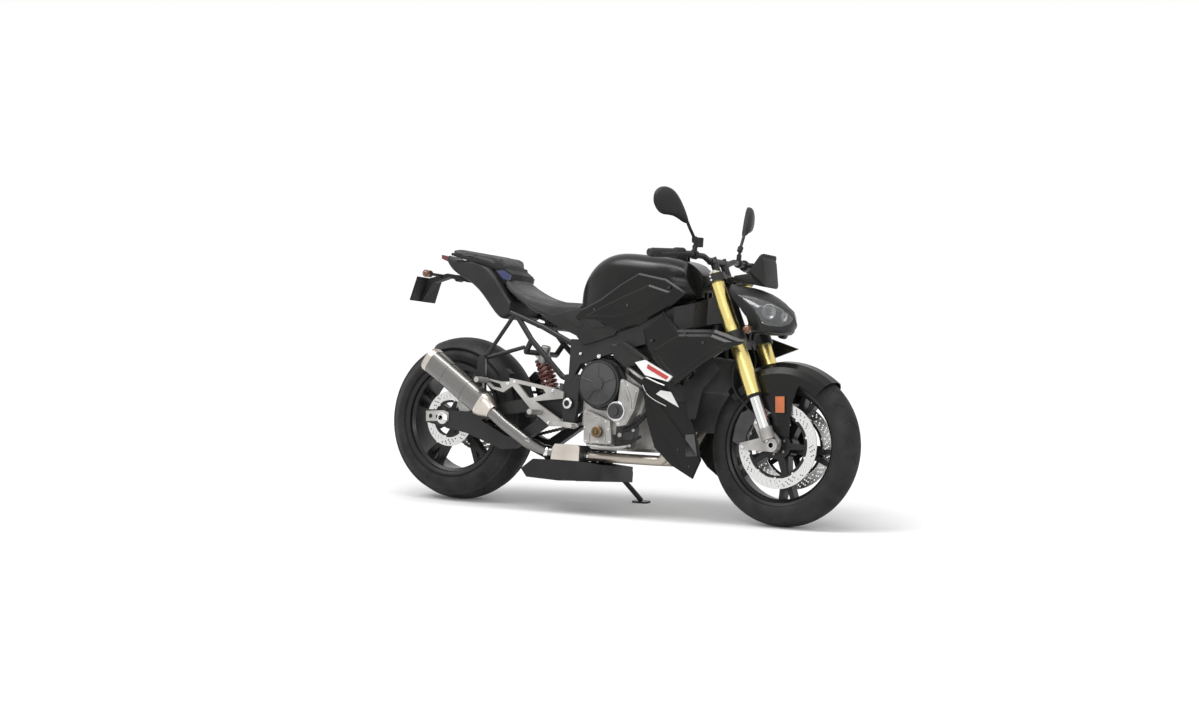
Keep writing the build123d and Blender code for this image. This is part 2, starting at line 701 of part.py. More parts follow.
finish(crankcase, "crankcase")

deck_u = Vector(math.sin(math.radians(cylinder_tilt)), 0, math.cos(math.radians(cylinder_tilt)))
deck_ahead = Vector(deck_u.Z, 0, -deck_u.X)
cylinder_length = 190
with BuildPart() as cylinder_head:
    rear = Vector(800, 0, 554) + deck_u * seat_gap
    front = Vector(930, 0, 473.2) + deck_u * seat_gap
    rear_top = rear + deck_u * cylinder_length
    front_top = front + deck_u * cylinder_length
    slab([(rear.X, rear.Z), (front.X, front.Z), (front_top.X, front_top.Z), (rear_top.X, rear_top.Z)],
         -head_half + 8, head_half - 8)
    for low, high in head_steps:
        block = [rear + deck_u * low, front + deck_u * low, front + deck_u * high, rear + deck_u * high]
        slab([(point.X, point.Z) for point in block], -head_half, head_half)
finish(cylinder_head, "cylinder_head")

with BuildPart() as engine_covers:
    cross_rod(clutch_x, clutch_z, -clutch_reach + 12, -crankcase_half, clutch_radius)
    cross_rod(clutch_x, clutch_z, -clutch_reach + 4, -clutch_reach + 13, clutch_radius - 8)
    cross_rod(clutch_x, clutch_z, -clutch_reach, -clutch_reach + 5, 24)
    for index in range(spoke_count):
        turn = math.radians(72 * index + 20)
        rib_end = Vector(clutch_x + 74 * math.cos(turn), -clutch_reach + 4, clutch_z + 74 * math.sin(turn))
        rod((clutch_x, -clutch_reach + 4, clutch_z), rib_end, 3)
    cross_rod(825, 389, -crankcase_half - 60, -crankcase_half - 42, 30)
    cross_rod(825, 389, -crankcase_half - 66, -crankcase_half - 60, 18)
    cross_rod(738, 306, -crankcase_half - 36, -crankcase_half - 24, 21)
    cross_rod(800, 400, crankcase_half, crankcase_half + 42, 72)
    cross_rod(800, 400, crankcase_half + 42, crankcase_half + 50, 58)
    slab([(652, 340), (740, 340), (740, 510), (652, 510)], crankcase_half, crankcase_half + 14, 12)
finish(engine_covers, "engine_covers")

with BuildPart() as radiator:
    slab([(1143, 618), (1176, 610), (1144, 480), (1111, 484)], -150, 150)
    slab([(1111, 484), (1144, 480), (1108, 330), (1076, 338)], -112, 112)
    for side in (-1, 1):
        rod((1150, side * 44, 600), (1150, side * 44, 738), 8)
finish(radiator, "radiator")

# Exhaust
with BuildPart() as exhaust_headers:
    for index in port_places:
        y = index * port_spacing
        low_y = index * 56 - 20
        port = front + deck_u * 118 + deck_ahead * seat_gap
        port = Vector(port.X, y, port.Z)
        tube([port, port + deck_ahead * 50, (1046, y, 360), (990, low_y, 212), (650 + seat_gap, low_y, 210)],
             header_radius, 32)
finish(exhaust_headers, "exhaust_headers")

box_outer_y = -150
box_inner_y = 90
with BuildPart() as collector_box:
    box_outline = [(389, 146), (437, 186), (520, 187), (520, 238), (532, 248), (650, 250), (650, 187),
                   (747, 180),
                   (747, 121), (561, 111), (416, 116)]
    slab(box_outline, box_outer_y, box_inner_y)
    hollow(box_outline, 4, box_outer_y, box_inner_y)
finish(collector_box, "collector_box")

with BuildPart() as belly_cover:
    cover_outline = [(386, 146), (436, 184), (649, 185), (747, 160), (747, 119), (561, 109), (414, 114)]
    slab(cover_outline, box_outer_y - 4, box_outer_y - seat_gap)
    slab(cover_outline, box_inner_y + seat_gap, box_inner_y + 4)
finish(belly_cover, "belly_cover")

silencer_front = Vector(225, -197, 380)
silencer_rear = Vector(-45, -197, 550)
silencer_axis = (silencer_rear - silencer_front).normalized()
with BuildPart() as silencer:
    tube([(520 - seat_gap, -118, 214), (480, -118, 214), (420, -176, 250), (320, -190, 312), silencer_front],
         24, 30)
    rod((205, -182, 430), (205, -182, 473), 6)
    slab([(150, 440), (196, 440), (186, 566), (172, 581), (157, 566)], -158, -146 - seat_gap)
    with BuildSketch(Plane(origin=silencer_front, x_dir=(0, 1, 0), z_dir=silencer_axis)) as can:
        RectangleRounded(86, 96, 34)
    can_length = (silencer_rear - silencer_front).length
    extrude(can.sketch, amount=can_length)
    with BuildSketch(Plane(origin=silencer_front + silencer_axis * 4, x_dir=(0, 1, 0),
                           z_dir=silencer_axis)) as core:
        RectangleRounded(78, 88, 30)
    extrude(core.sketch, amount=can_length - 24, mode=Mode.SUBTRACT)
    rod(silencer_rear - silencer_axis * 30, silencer_rear + silencer_axis * 2, 24, Mode.SUBTRACT)
finish(silencer, "silencer")

# Fuel tank and its cap
cap_x = 930
cap_z = 1000
cap_radius = 38
cap_height = 12
cap_pin_radius = 2.5
cap_hinge = Vector(cap_x + 48, 0, cap_z + cap_height)
with BuildPart() as fuel_tank:
    station_loft([(560, 768, 806, 60, 16), (600, 745, 905, 110, 40), (660, 735, 965, 140, 60),
                  (720, 735, 990, 155, 70), (850, 740, 992, tank_half, 75),
                  (980, 782, 980, tank_half - 14, 80),
                  (1045, 812, 954, 120, 64), (1082, 838, 922, 84, 34)])
    recess = [steer_point(up, ahead, 0) for up, ahead in ((860, -80), (1130, -80), (1130, 150), (860, 150))]
    for low, high in ((56, 180), (-180, -56)):
        slab([(point.X, point.Z) for point in recess], low, high, mode=Mode.SUBTRACT)
    rod((cap_x, 0, 960), (cap_x, 0, cap_z), 46)
    for low, high in ((6.5, 12), (-12, -6.5)):
        slab([(cap_hinge.X - 5, cap_z - 24), (cap_hinge.X + 6, cap_z - 24),
              (cap_hinge.X + 6, cap_hinge.Z + 4),
              (cap_hinge.X - 5, cap_hinge.Z + 4)], low, high)
    cross_rod(cap_hinge.X, cap_hinge.Z, -12, 12, cap_pin_radius)
    rod((1080, 0, 860), (1080, 0, 812 + seat_gap), 16)
    slab([(600, 780), (624, 780), (622, 654 + seat_gap), (602, 654 + seat_gap)], -15, 15)
finish(fuel_tank, "fuel_tank")

with BuildPart() as fuel_cap:
    rod((cap_x, 0, cap_z + seat_gap), (cap_x, 0, cap_z + cap_height), cap_radius)
    slab([(cap_x + 30, cap_z + 4), (cap_x + 38, cap_z + 4), (cap_hinge.X, cap_hinge.Z - 4),
          (cap_hinge.X, cap_hinge.Z + 4), (cap_x + 30, cap_z + cap_height)], -6, 6)
    cross_rod(cap_hinge.X, cap_hinge.Z, -6, 6, 5)
    cross_rod(cap_hinge.X, cap_hinge.Z, -7, 7, cap_pin_radius + running_fit, Mode.SUBTRACT)
finish(fuel_cap, "fuel_cap")

# Side trims and shrouds, each a flat panel with its outer edges cut back
def edged_panel(outline, y_low, y_high, edge):
    with BuildSketch(Plane.XZ.offset(-y_high + edge)) as profile:
        draw(outline)
    extrude(profile.sketch, amount=y_high - y_low - edge)
    with BuildSketch(Plane.XZ.offset(-y_high + edge)) as face:
        draw(outline)
    extrude(face.sketch, amount=-edge, taper=50)


with BuildPart() as side_trims:
    edged_panel([(629, 767), (718, 812), (799, 869), (879, 915), (1000, 895), (1090, 846), (1013, 783),
                 (888, 716),
                 (804, 690), (700, 726), (600, 726)], trim_y, trim_y + trim_thickness, 6)
    edged_panel([(648, 742), (792, 742), (868, 760), (960, 806), (1028, 846), (930, 872), (820, 826),
                 (730, 784)],
                trim_y, trim_y + trim_thickness + 6, 6)
    cross_rod(900, 729, pivot_plate_out + 4, trim_y, 6)
    mirror(about=Plane.XZ)
finish(side_trims, "side_trims")

with BuildPart() as side_shrouds:
    edged_panel([(1084, 706), (1238, 711), (1372, 672), (1272, 633), (1192, 581), (1079, 496), (1010, 561),
                 (955, 620), (930, 700), (1013, 770)], shroud_y, shroud_y + shroud_thickness - 8, 9)
    edged_panel([(1090, 690), (1232, 694), (1320, 668), (1250, 636), (1180, 590), (1085, 520), (1020, 580),
                 (985, 630)], shroud_y, shroud_y + shroud_thickness, 9)
    cross_rod(945, 700, 179.6, shroud_y, 8)
    mirror(about=Plane.XZ)
finish(side_shrouds, "side_shrouds")

with BuildPart() as air_ducts:
    edged_panel([(791, 640), (849, 650), (956, 591), (949, 530), (911, 569), (853, 556), (804, 590)],
                pivot_plate_out + 4.3, shroud_y + 8, 7)
    mirror(about=Plane.XZ)
finish(air_ducts, "air_ducts")

with BuildPart() as belly_spoiler:
    slant = math.atan2(60, 200)
    slant_plane = Plane(origin=(960, -172, 0), x_dir=(math.cos(slant), math.sin(slant), 0),
                        z_dir=(math.sin(slant), -math.cos(slant), 0))
    with BuildSketch(slant_plane) as panel:
        draw([((px - 960) / math.cos(slant), pz) for px, pz in (
            (925, 520), (967, 513), (1060, 440), (1100, 440), (1110, 379), (1142, 298), (1158, 227),
            (1132, 154),
            (1050, 200), (984, 262), (951, 356), (922, 500))])
    extrude(panel.sketch, amount=-6)
    cross_rod(938, 509, -174, -head_half - seat_gap, 6)
    mirror(about=Plane.XZ)
finish(belly_spoiler, "belly_spoiler")

# Seats and tail
with BuildPart() as rider_seat:
    station_loft([(212, 855, 908, 90, 16), (300, 795, 838, seat_half, 18),
                  (400, 748, 808, seat_half - 5, 22),
                  (500, 745, 802, 85, 22), (556, 768, 806, 60, 16)])
    for side in (-1, 1):
        rod((400, side * 60, 770), (400, side * 60, 705 + rail_radius + seat_gap), 12)
finish(rider_seat, "rider_seat")

with BuildPart() as tail_cowl:
    station_loft([(-100, 945, 975, 50, 10), (13, 878, 956, 80, 16), (132, 796, 926, 105, 20),
                  (207, 730, 850, 112, 20),
                  (258, 742, 795, 118, 16)])
    slab([(-64, 975 - seat_gap), (149, 922 - seat_gap), (212, 925 - seat_gap), (212, 1000),
          (-64, 1010)], -120, 120,
         mode=Mode.SUBTRACT)
    seat_rails(rail_radius + seat_gap, Mode.SUBTRACT)
finish(tail_cowl, "tail_cowl")

with BuildPart() as pillion_seat:
    slab([(-60, 1000), (187, 969), (200, 925), (149, 922), (-64, 975)], -80, 80, 8)
finish(pillion_seat, "pillion_seat")

with BuildPart() as tail_light:
    slab([(-100 - seat_gap, 950), (-100 - seat_gap, 972), (-135, 978), (-135, 962)], -45, 45)
finish(tail_light, "tail_light")

with BuildPart() as plate_bracket:
    slab([(10, 871.3), (-20, 891.3), (-120, 905), (-206, 884), (-plate_reach + 3, 792),
          (-plate_reach + 12, 786),
          (-190, 865), (-110, 890), (-20, 871.3)], -18, 18)
    slab([(-plate_reach + 2, 790), (-222, 882), (-218, 882), (-plate_reach + 6, 790)], -85, 85)
    for side in (-1, 1):
        cross_rod(-150, 895, side * 10, side * 95, 6)
        cross_rod(-150, 895, side * 95, side * 130, 14)
finish(plate_bracket, "plate_bracket")

# Swingarm, shock absorber and rear hugger
with BuildPart() as swingarm:
    slab([(-86, 351), (111, 352), (300, 400), (560, 450), (625, 440), (640, 407), (620, 372),
          (500, 330), (345, 221),
          (287, 213), (119, 266), (-82, 300)], arm_in, arm_out)
    slab([(180, 322), (300, 268), (330, 262), (440, 335), (480, 380), (300, 350)], arm_in - 1, arm_out + 1,
         mode=Mode.SUBTRACT)
    cross_rod(0, rear_axle_z, arm_in - 1, arm_out + 1, axle_radius + running_fit, Mode.SUBTRACT)
    mirror(about=Plane.XZ)
    cross_rod(pivot_x, pivot_z, -arm_out, arm_out, 29)
    slab([(345, 380), (470, 430), (480, 400), (370, 345)], -arm_in, arm_in)
    for low in (16, -28):
        slab([(388, 390), (440, 412), (432, 442), (404, 444)], low, low + 12)
    cross_rod(shock_low.X, shock_low.Z, -28, 28, shock_pin_radius)
    cross_rod(pivot_x, pivot_z, -arm_out - 1, arm_out + 1, pivot_shaft_radius + running_fit, Mode.SUBTRACT)
finish(swingarm, "swingarm")

with BuildPart() as shock_absorber:
    cross_rod(shock_top.X, shock_top.Z, -14, 14, 22)
    cross_rod(shock_low.X, shock_low.Z, -15, 15, 16)
    rod(shock_top, shock_low, 13)
    rod(shock_top + shock_axis * 26, shock_low - shock_axis * 26, 32)
    cross_rod(shock_top.X, shock_top.Z, -15, 15, rail_radius + running_fit, Mode.SUBTRACT)
    cross_rod(shock_low.X, shock_low.Z, -16, 16, shock_pin_radius + running_fit, Mode.SUBTRACT)
finish(shock_absorber, "shock_absorber")

with BuildPart() as rear_hugger:
    middle = rear_tyre_radius - rear_crown_radius
    hug_inner = rear_crown_radius + 9
    hug_outer = hug_inner + 3
    hug_half = 92
    low = middle + math.sqrt(hug_inner ** 2 - hug_half ** 2)
    low_out = middle + math.sqrt(hug_outer ** 2 - hug_half ** 2)
    with BuildSketch(radial_plane(rear_axle, 113)) as band:
        with BuildLine() as loop:
            ThreePointArc((-hug_half, low), (0, middle + hug_inner), (hug_half, low))
            Line((hug_half, low), (hug_half, low_out))
            ThreePointArc((hug_half, low_out), (0, middle + hug_outer), (-hug_half, low_out))
            Line((-hug_half, low_out), (-hug_half, low))
        make_face(loop.edges())
    revolve(band.sketch, axis=Axis(rear_axle, (0, 1, 0)), revolution_arc=83)
    for low, high in ((88, arm_in - seat_gap), (seat_gap - arm_in, -88)):
        slab([(222, 490), (250, 470), (284, 512), (262, 530)], low, high)
    for low, high in ((112.5, arm_in - seat_gap), (seat_gap - arm_in, -112.5)):
        slab([(240, 510), (276, 512), (306, 392), (284, 384)], low, high)
finish(rear_hugger, "rear_hugger")

with BuildPart() as rear_caliper:
    slab([(40, 380), (64, 332), (136, 332), (150, 400), (110, 440), (60, 425)], -arm_in + seat_gap,
         -rear_disc_y + 16)
    cross_rod(0, rear_axle_z, -rear_disc_y - disc_thickness / 2 - moving_gap,
              -rear_disc_y + disc_thickness / 2 + moving_gap, rear_disc_radius + moving_gap, Mode.SUBTRACT)
finish(rear_caliper, "rear_caliper")

# Drive chain
def chain_loop(offset):
    rear = rear_axle
    front = Vector(front_sprocket_x, 0, front_sprocket_z)
    rear_r = sprocket_pitch_radius + offset
    front_r = front_pitch_radius + offset
    run = front - rear
    bearing = math.atan2(run.Z, run.X)
    swing = math.acos((rear_r - front_r) / run.length)
    top = bearing + swing
    low = bearing - swing
    rear_top = (rear.X + rear_r * math.cos(top), rear.Z + rear_r * math.sin(top))
    front_top = (front.X + front_r * math.cos(top), front.Z + front_r * math.sin(top))
    rear_low = (rear.X + rear_r * math.cos(low), rear.Z + rear_r * math.sin(low))
    front_low = (front.X + front_r * math.cos(low), front.Z + front_r * math.sin(low))
    rear_far = (rear.X - rear_r * math.cos(bearing), rear.Z - rear_r * math.sin(bearing))
    front_far = (front.X + front_r * math.cos(bearing), front.Z + front_r * math.sin(bearing))
    with BuildLine() as loop:
        ThreePointArc(rear_top, rear_far, rear_low)
        Line(rear_low, front_low)
        ThreePointArc(front_low, front_far, front_top)
        Line(front_top, rear_top)
    return loop.edges()


with BuildPart() as drive_chain:
    with BuildSketch(Plane.XZ.offset(-chain_y - chain_width / 2)) as links:
        make_face(chain_loop(chain_height / 2))
        make_face(chain_loop(-chain_height / 2), mode=Mode.SUBTRACT)
    extrude(links.sketch, amount=chain_width)
finish(drive_chain, "drive_chain")

# Footrests
with BuildPart() as footrest_brackets:
    bracket_in = pivot_plate_out + seat_gap
    bracket_out = pivot_plate_out + 12
    slab([(327, 492), (515, 466), (580, 450), (580, 425), (454, 408), (580, 340), (580, 318),
          (527, 315), (432, 379),
          (333, 471)], bracket_in, bracket_out)
    slab([(368, 472), (488, 456), (500, 440), (436, 420), (420, 420)], bracket_in - 1, bracket_out + 1,
         mode=Mode.SUBTRACT)
    slab([(184, 492), (291, 476), (344, 480), (344, 462), (303, 435), (251, 446)], bracket_in, bracket_out)
    slab([(222, 480), (284, 468), (296, 450), (256, 455)], bracket_in - 1, bracket_out + 1,
         mode=Mode.SUBTRACT)
    cross_rod(480, 366, bracket_in, bracket_out, 18)
    cross_rod(560, 329, bracket_out, bracket_out + 8, 8)
    mirror(about=Plane.XZ)
finish(footrest_brackets, "footrest_brackets")

# Brake pedal and shift lever
with BuildPart() as foot_controls:
    slab([(548, 320), (572, 318), (650, 312), (664, 320), (660, 332), (572, 338), (550, 338)],
         bracket_out + 8 + seat_gap, bracket_out + 16)
    cross_rod(652, 322, bracket_out + 16, bracket_out + 52, 8)
    mirror(about=Plane.XZ)
finish(foot_controls, "foot_controls")

with BuildPart() as foot_pegs:
    for x, z in ((480, 366), (225, 478)):
        cross_rod(x, z, pivot_plate_out + 12 + seat_gap, pivot_plate_out + 90, 11)
    mirror(about=Plane.XZ)
finish(foot_pegs, "foot_pegs")

# Side stand
foot_plane = Plane(origin=stand_foot, x_dir=(1, 0, 0), z_dir=(0, -lean_sine, lean_cosine))
with BuildPart() as side_stand:
    rod(stand_pivot, stand_foot + Vector(0, 0, 8), stand_leg_radius)
    rod(stand_pivot - stand_axis * stand_leg_radius, stand_pivot + stand_axis * stand_leg_radius, 17)
    with BuildSketch(foot_plane) as pad:
        RectangleRounded(70, 46, 14)
    extrude(pad.sketch, amount=7)
    rod(stand_pivot - stand_axis * 12, stand_pivot + stand_axis * 12, stand_bolt_radius + running_fit,
        Mode.SUBTRACT)
    split(bisect_by=foot_plane, keep=Keep.TOP)
finish(side_stand, "side_stand")
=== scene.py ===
# Naked sport motorcycle on its side stand: finishes, tread, discs, chain, seats, lamps and small fittings
import math

import bmesh
import bpy
import numpy as np
from mathutils import Matrix, Vector
from mathutils.bvhtree import BVHTree


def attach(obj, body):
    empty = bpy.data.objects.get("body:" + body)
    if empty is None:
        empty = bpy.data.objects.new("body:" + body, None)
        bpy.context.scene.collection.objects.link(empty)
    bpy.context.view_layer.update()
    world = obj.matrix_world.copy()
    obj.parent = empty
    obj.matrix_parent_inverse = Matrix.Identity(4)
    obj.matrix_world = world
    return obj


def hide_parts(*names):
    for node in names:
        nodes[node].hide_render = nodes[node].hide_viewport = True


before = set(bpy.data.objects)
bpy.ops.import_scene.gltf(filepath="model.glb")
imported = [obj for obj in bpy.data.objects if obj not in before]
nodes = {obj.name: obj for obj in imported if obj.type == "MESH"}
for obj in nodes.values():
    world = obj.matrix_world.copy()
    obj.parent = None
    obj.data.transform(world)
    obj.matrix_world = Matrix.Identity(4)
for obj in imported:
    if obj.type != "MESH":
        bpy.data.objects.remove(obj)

scene = bpy.context.scene
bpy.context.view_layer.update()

# Sizes of the machine itself, in mm while it stands upright; x forward from the rear axle, y left, z up
bike = {"lean": 8.0, "middleX": 715.5, "middleY": 136.0, "frontAxle": (1450.0, 300.595), "rearAxle": (0.0, 320.027)}
leanTurn = math.radians(-bike["lean"])
across = Vector((0, 1, 0))
rowFromBike = (Matrix.Translation((-bike["middleX"] / 1000, -bike["middleY"] / 1000, 0))
               @ Matrix.Rotation(leanTurn, 4, "X") @ Matrix.Scale(0.001, 4))


def rowPoint(x, y, z):
    return rowFromBike @ Vector((x, y, z))


def addObject(name, data):
    thing = bpy.data.objects.new(name, data)
    scene.collection.objects.link(thing)
    return thing


# Camera at the photograph's place, with the frame's small shift
lens = {"azimuth": 31.25, "elevation": 6.01, "roll": -0.26, "distance": 9.05577, "focal": 2354.76,
        "width": 1199, "right": 13.16, "down": 37.04, "target": (0.0095, -0.136, 0.450)}


def placeCamera():
    turn, rise, roll = (math.radians(lens[k]) for k in ("azimuth", "elevation", "roll"))
    back = Vector((math.sin(turn) * math.cos(rise), -math.cos(turn) * math.cos(rise), math.sin(rise)))
    right = Vector((0, 0, 1)).cross(back).normalized()
    up = back.cross(right)
    rolledRight = right * math.cos(roll) + up * math.sin(roll)
    rolledUp = up * math.cos(roll) - right * math.sin(roll)
    data = bpy.data.cameras.new("photoCamera")
    data.sensor_width = 36
    data.lens = lens["focal"] * 36 / lens["width"]
    data.shift_x = -lens["right"] / lens["width"]
    data.shift_y = lens["down"] / lens["width"]
    data.clip_end = 200
    place = Matrix((rolledRight, rolledUp, back)).transposed().to_4x4()
    place.translation = Vector(lens["target"]) + back * lens["distance"]
    camera = addObject("photoCamera", data)
    camera.matrix_world = place
    scene.camera = camera


placeCamera()
print("camera placed")


# Node helpers: a value is a number, a colour or another node's output
def feedAll(tree, node, values):
    for label, value in values.items():
        if isinstance(value, bpy.types.NodeSocket):
            tree.links.new(value, node.inputs[label])
        else:
            node.inputs[label].default_value = value
    return node


def addNode(tree, kind, values=None, **settings):
    node = tree.nodes.new(kind)
    for key, value in settings.items():
        setattr(node, key, value)
    return feedAll(tree, node, values or {})


def mathNode(tree, operation, *values):
    return addNode(tree, "ShaderNodeMath", dict(enumerate(values)), operation=operation).outputs[0]


def mapRange(tree, value, toLow, toHigh, fromLow=0.0, fromHigh=1.0, **settings):
    return addNode(tree, "ShaderNodeMapRange", {"Value": value, "From Min": fromLow, "From Max": fromHigh,
                                                "To Min": toLow, "To Max": toHigh}, **settings).outputs[0]


def mixTones(tree, factor, enter):
    return addNode(tree, "ShaderNodeMix", {0: factor, 6: enter["Light Tone"], 7: enter["Dark Tone"]},
                   data_type="RGBA").outputs[2]


def addBump(tree, height, strength, distance):
    return addNode(tree, "ShaderNodeBump", {"Height": height, "Strength": strength, "Distance": distance}).outputs[0]


def newTree(kind, name, inputs, outputs):
    tree = bpy.data.node_groups.new(name, kind)
    for side, sockets in (("INPUT", inputs), ("OUTPUT", outputs)):
        for label, socketKind in sockets.items():
            tree.interface.new_socket(label, in_out=side, socket_type="NodeSocket" + socketKind)
    return tree, tree.nodes.new("NodeGroupInput").outputs, tree.nodes.new("NodeGroupOutput")


# Studio: white ground that fades up with distance, even white surround, one broad soft key, two long soft boxes
studio = {
    "groundRadius": 60.0, "groundTone": 0.80, "nearLift": 0.05, "farLift": 0.20, "nearReach": 0.6, "farReach": 3.6,
    "surround": 0.72,
    "lamps": {
        "softKey": ("SUN", (-3.3, -2.1, 5.7), (0, 0, 0), {"energy": 1.25, "angle": math.radians(32)}),
        "overheadBox": ("AREA", (0.2, -0.6, 3.6), (0.1, 0, 0.4),
                        {"energy": 60.0, "shape": "RECTANGLE", "size": 3.4, "size_y": 0.7}),
        "sideBox": ("AREA", (2.6, -4.2, 2.4), (0.2, 0, 0.5),
                    {"energy": 45.0, "shape": "RECTANGLE", "size": 2.6, "size_y": 0.5}),
    },
}


# One for rays from the camera, mirrors and glass, nought for the rays that light the machine
def seenRay(tree):
    path = addNode(tree, "ShaderNodeLightPath").outputs
    seen = mathNode(tree, "MAXIMUM", path["Is Camera Ray"], path["Is Glossy Ray"])
    return mathNode(tree, "MAXIMUM", seen, path["Is Transmission Ray"])


def makeGround():
    mesh = bpy.data.meshes.new("studioGround")
    bm = bmesh.new()
    bmesh.ops.create_circle(bm, cap_ends=True, radius=studio["groundRadius"], segments=96)
    bm.to_mesh(mesh)
    bm.free()
    material = bpy.data.materials.new("groundWhite")
    material.use_nodes = True
    tree = material.node_tree
    tree.nodes.clear()
    where = addNode(tree, "ShaderNodeTexCoord").outputs["Object"]
    reach = addNode(tree, "ShaderNodeVectorMath", {0: where}, operation="LENGTH").outputs["Value"]
    lift = mapRange(tree, reach, studio["nearLift"], studio["farLift"], studio["nearReach"], studio["farReach"],
                    interpolation_type="SMOOTHSTEP")
    matt = addNode(tree, "ShaderNodeBsdfDiffuse", {"Color": (studio["groundTone"],) * 3 + (1,)})
    glow = addNode(tree, "ShaderNodeEmission", {"Strength": mathNode(tree, "MULTIPLY", seenRay(tree), lift)})
    total = addNode(tree, "ShaderNodeAddShader", {0: matt.outputs[0], 1: glow.outputs[0]})
    addNode(tree, "ShaderNodeOutputMaterial", {"Surface": total.outputs[0]})
    mesh.materials.append(material)
    addObject("studioGround", mesh)


def makeSurround():
    world = bpy.data.worlds.new("studioSurround")
    scene.world = world
    world.use_nodes = True
    tree = world.node_tree
    tree.nodes.clear()
    level = mapRange(tree, seenRay(tree), studio["surround"], 1.0)
    back = addNode(tree, "ShaderNodeBackground", {"Color": (1, 1, 1, 1), "Strength": level})
    addNode(tree, "ShaderNodeOutputWorld", {"Surface": back.outputs[0]})


def addLamps():
    for name, (kind, place, aim, facts) in studio["lamps"].items():
        data = bpy.data.lights.new(name, kind)
        for key, value in facts.items():
            setattr(data, key, value)
        lamp = addObject(name, data)
        lamp.location = place
        lamp.rotation_euler = (Vector(aim) - Vector(place)).to_track_quat("-Z", "Y").to_euler()


makeGround()
makeSurround()
addLamps()
scene.view_settings.view_transform = "Standard"
print("studio ready")

# Node groups that several finishes share
toneInputs = {"Light Tone": "Color", "Dark Tone": "Color"}
roughInputs = {"Rough Low": "Float", "Rough High": "Float"}
toneOutputs = {"Tone": "Color", "Roughness": "Float"}


def makeSurfaceTone():
    tree, enter, leave = newTree("ShaderNodeTree", "surfaceTone",
                                 {"Coordinates": "Vector", "Scale": "Float", **toneInputs, **roughInputs}, toneOutputs)
    cloud = addNode(tree, "ShaderNodeTexNoise", {"Vector": enter["Coordinates"], "Scale": enter["Scale"], "Detail": 6})
    spread = mapRange(tree, cloud.outputs["Fac"], 0.0, 1.0, 0.32, 0.68)
    feedAll(tree, leave, {"Tone": mixTones(tree, spread, enter),
                          "Roughness": mapRange(tree, spread, enter["Rough Low"], enter["Rough High"])})
    return tree


def makeFineGrain():
    tree, enter, leave = newTree("ShaderNodeTree", "fineGrain",
                                 {"Coordinates": "Vector", "Grains Per Metre": "Float", "Depth": "Float",
                                  "Cells": "Float"}, {"Normal": "Vector"})
    field = {"Vector": enter["Coordinates"], "Scale": enter["Grains Per Metre"]}
    noise = addNode(tree, "ShaderNodeTexNoise", {**field, "Detail": 3})
    cells = addNode(tree, "ShaderNodeTexVoronoi", field)
    blend = addNode(tree, "ShaderNodeMix", {0: enter["Cells"], 2: noise.outputs["Fac"], 3: cells.outputs["Distance"]})
    feedAll(tree, leave, {"Normal": addBump(tree, blend.outputs[0], enter["Depth"], 0.0006)})
    return tree


def makeBrushLines():
    tree, enter, leave = newTree("ShaderNodeTree", "brushLines",
                                 {"Coordinates": "Vector", "Stretch": "Vector", **toneInputs, **roughInputs},
                                 {**toneOutputs, "Height": "Float"})
    drawn = addNode(tree, "ShaderNodeVectorMath", {0: enter["Coordinates"], 1: enter["Stretch"]}, operation="MULTIPLY")
    noise = addNode(tree, "ShaderNodeTexNoise", {"Vector": drawn.outputs[0], "Scale": 1.0, "Detail": 4}).outputs["Fac"]
    feedAll(tree, leave, {"Tone": mixTones(tree, noise, enter), "Height": noise,
                          "Roughness": mapRange(tree, noise, enter["Rough Low"], enter["Rough High"])})
    return tree


def makeTurnedRings():
    tree, enter, leave = newTree("ShaderNodeTree", "turnedRings",
                                 {"Coordinates": "Vector", "Rings Per Metre": "Float", **toneInputs},
                                 {**toneOutputs, "Height": "Float"})
    split = addNode(tree, "ShaderNodeSeparateXYZ", {0: enter["Coordinates"]}).outputs
    squares = [mathNode(tree, "POWER", split[axis], 2.0) for axis in (0, 2)]
    radius = mathNode(tree, "SQRT", mathNode(tree, "ADD", *squares))
    noise = addNode(tree, "ShaderNodeTexNoise", {"W": radius, "Scale": enter["Rings Per Metre"], "Detail": 3},
                    noise_dimensions="1D").outputs["Fac"]
    feedAll(tree, leave, {"Tone": mixTones(tree, noise, enter), "Height": noise,
                          "Roughness": mapRange(tree, noise, 0.18, 0.42)})
    return tree


surfaceTone, fineGrain = makeSurfaceTone(), makeFineGrain()
brushLines, turnedRings = makeBrushLines(), makeTurnedRings()

